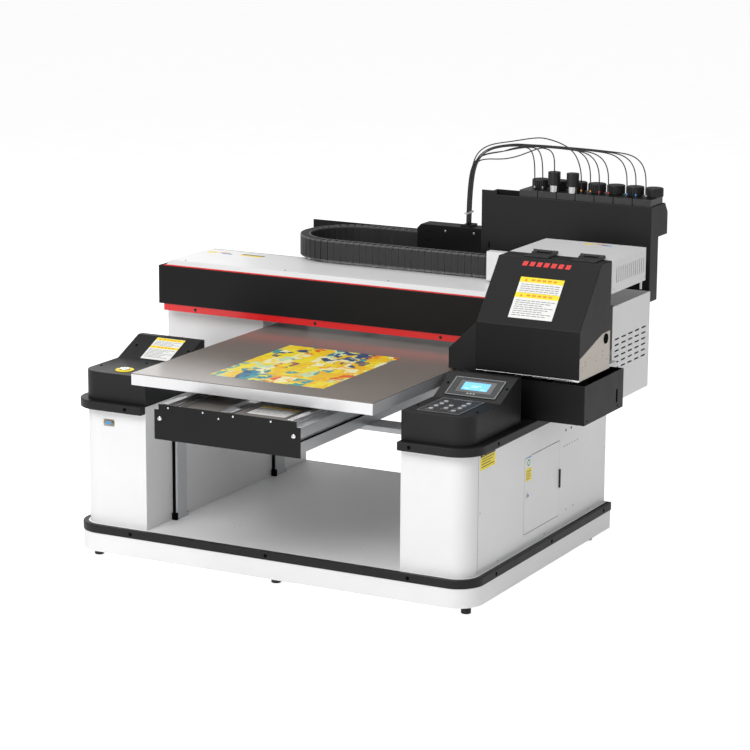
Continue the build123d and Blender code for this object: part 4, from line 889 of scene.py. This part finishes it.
# ---- ink tubes, on the same route points as the CAD tubes -------------------------------------
PEAKS = (1016, 1017, 1018, 1040, 1021, 1016, 1016, 1017, 1018, 1019)
SAGS = (12, 12, 34, 10, 0, 0, 0, 0, 0, 0)
RISE = ((0, 0), (1, 0.16), (3, 0.32), (7, 0.48), (14, 0.62), (28, 0.735), (51, 0.82), (83, 0.883),
        (121, 0.924), (160, 0.951))
TIGHT_FALL = ((60, 0.99), (38, 1.0), (18, 0.96), (5, 0.76), (1, 0.5), (0, 0.25), (0, 0))
FALL = ((88, 1.0), (60, 0.985), (36, 0.93), (15, 0.8), (3, 0.58), (0, 0.3), (0, 0))
WIDE_FALL = ((150, 1.0), (112, 0.98), (76, 0.935), (46, 0.86), (24, 0.745), (10, 0.58), (2, 0.39),
             (0, 0.19), (0, 0))
FALLS = (TIGHT_FALL,) * 3 + (WIDE_FALL,) + (FALL,) * 6
STIRRER_TUBE, STIRRER_END = 2, (374, 451, 961)
LEVEL_STEP = 42


def tube_route(number):
    """Points of one ink tube: up from the chain's box, over, and down to a tank.

    RISE and the FALLS are (distance from that end, share of the height); SAGS hang between.
    """
    x0, y0, z0 = EXIT_X - EXIT_STEP_X * number, EXIT_Y + EXIT_STEP_Y * number, EXIT_Z
    peak, fall = PEAKS[number], FALLS[number]
    if number == STIRRER_TUBE:
        x1, y1, z1 = STIRRER_END
    else:
        fitting = number if number < STIRRER_TUBE else number - 1
        x1, y1, z1 = FITTINGS[fitting], FITTING_Y, FITTING_Z
    reach = hypot(x1 - x0, y1 - y0)
    crest = reach - fall[0][0]
    start, shoulder = RISE[-1]
    steps = max(round((crest - start) / LEVEL_STEP), 1)
    level = [(start + (crest - start) * k / steps,
              shoulder + (1 - shoulder) * sin(pi / 2 * k / steps)) for k in range(1, steps)]
    shape = [(d, z0 + (peak - z0) * share - SAGS[number] * sin(pi * d / crest))
             for d, share in RISE + tuple(level)]
    shape += [(reach - d, z1 + (peak - z1) * share) for d, share in fall]
    return [(x0 + (x1 - x0) * d / reach, y0 + (y1 - y0) * d / reach, z) for d, z in shape]


for number in range(TUBES):
    curve = bpy.data.curves.new(f"ink_tube_{number + 1}_line", "CURVE")
    curve.dimensions = "3D"
    curve.bevel_depth, curve.bevel_resolution, curve.resolution_u = TUBE_RADIUS * MM, 3, 8
    spline = curve.splines.new("NURBS")
    route = tube_route(number)
    spline.points.add(len(route) - 1)
    for point, (x, y, z) in zip(spline.points, route):
        point.co = (x * MM, y * MM, z * MM, 1)
    spline.order_u = 3
    spline.use_endpoint_u = True
    curve.use_fill_caps = True
    curve.materials.append(TUBE)
    tube = bpy.data.objects.new(f"ink_tube_{number + 1}_piece", curve)
    bpy.context.scene.collection.objects.link(tube)
    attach(tube, "base")
    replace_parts(tube, f"ink_tube_{number + 1}")

# ---- stage, world and lights -----------------------------------------------------------------
FLOOR_SIZE, FLOOR_GRID = 90, 8
FLOOR_GLOW, FLOOR_GLOW_SEEN = 0.36, 0.80    # as the object is lit by it, and as the camera sees it
FILL_LIGHT, BACKDROP_LIGHT = 0.32, 1.0
bm = bmesh.new()
bmesh.ops.create_grid(bm, x_segments=FLOOR_GRID, y_segments=FLOOR_GRID, size=FLOOR_SIZE)
floor_mesh = bpy.data.meshes.new("studio_floor")
bm.to_mesh(floor_mesh)
bm.free()
floor = bpy.data.objects.new("studio_floor", floor_mesh)
floor_paint = finish("studio_floor_paint", (0.86, 0.86, 0.86), 0.8, vary=0.01, bump=0.01, grain=60,
                     glow=FLOOR_GLOW)
tree = floor_paint.node_tree
seen = tree.nodes.new("ShaderNodeLightPath")
level = tree.nodes.new("ShaderNodeMapRange")
level.inputs["To Min"].default_value = FLOOR_GLOW
level.inputs["To Max"].default_value = FLOOR_GLOW_SEEN
tree.links.new(seen.outputs["Is Camera Ray"], level.inputs["Value"])
tree.links.new(level.outputs["Result"], tree.nodes["Principled BSDF"].inputs["Emission Strength"])
floor_mesh.materials.append(floor_paint)
bpy.context.scene.collection.objects.link(floor)

world = bpy.data.worlds.new("studio")
bpy.context.scene.world = world
world.use_nodes = True
tree = world.node_tree
backdrop = tree.nodes["Background"]
backdrop.inputs["Color"].default_value = (1, 1, 1, 1)
backdrop.inputs["Strength"].default_value = BACKDROP_LIGHT
fill = tree.nodes.new("ShaderNodeBackground")
fill.inputs["Color"].default_value = (1, 1, 1, 1)
fill.inputs["Strength"].default_value = FILL_LIGHT
path = tree.nodes.new("ShaderNodeLightPath")
blend = tree.nodes.new("ShaderNodeMixShader")
tree.links.new(path.outputs["Is Camera Ray"], blend.inputs["Fac"])
tree.links.new(fill.outputs["Background"], blend.inputs[1])
tree.links.new(backdrop.outputs["Background"], blend.inputs[2])
tree.links.new(blend.outputs["Shader"], tree.nodes["World Output"].inputs["Surface"])


def softbox(name, at, target, size, power):
    """Rectangular light of size in metres and power in watts, aimed at target."""
    data = bpy.data.lights.new(name, "AREA")
    data.shape, data.size, data.size_y, data.energy = "RECTANGLE", size[0], size[1], power
    obj = bpy.data.objects.new(name, data)
    obj.location = at
    obj.rotation_euler = (Vector(target) - Vector(at)).to_track_quat("-Z", "Y").to_euler()
    bpy.context.scene.collection.objects.link(obj)


softbox("top_light", (-0.6, 0.2, 4.2), (0, 0, 0.5), (3.6, 2.6), 54)
softbox("key_light", (-0.5, -3.1, 3.0), (0, -0.2, 0.4), (3.0, 1.8), 84)
softbox("front_light", (-1.0, -5.2, 1.4), (0, 0, 0.45), (3.0, 1.8), 30)
softbox("back_light", (-4.0, 3.8, 1.8), (-0.3, -0.3, 0.5), (2.6, 1.8), 24)
softbox("right_light", (5.0, -1.5, 2.4), (0.3, 0, 0.5), (2.0, 2.5), 16)

bpy.context.scene.view_settings.view_transform = "Standard"
bpy.context.scene.view_settings.look = "None"
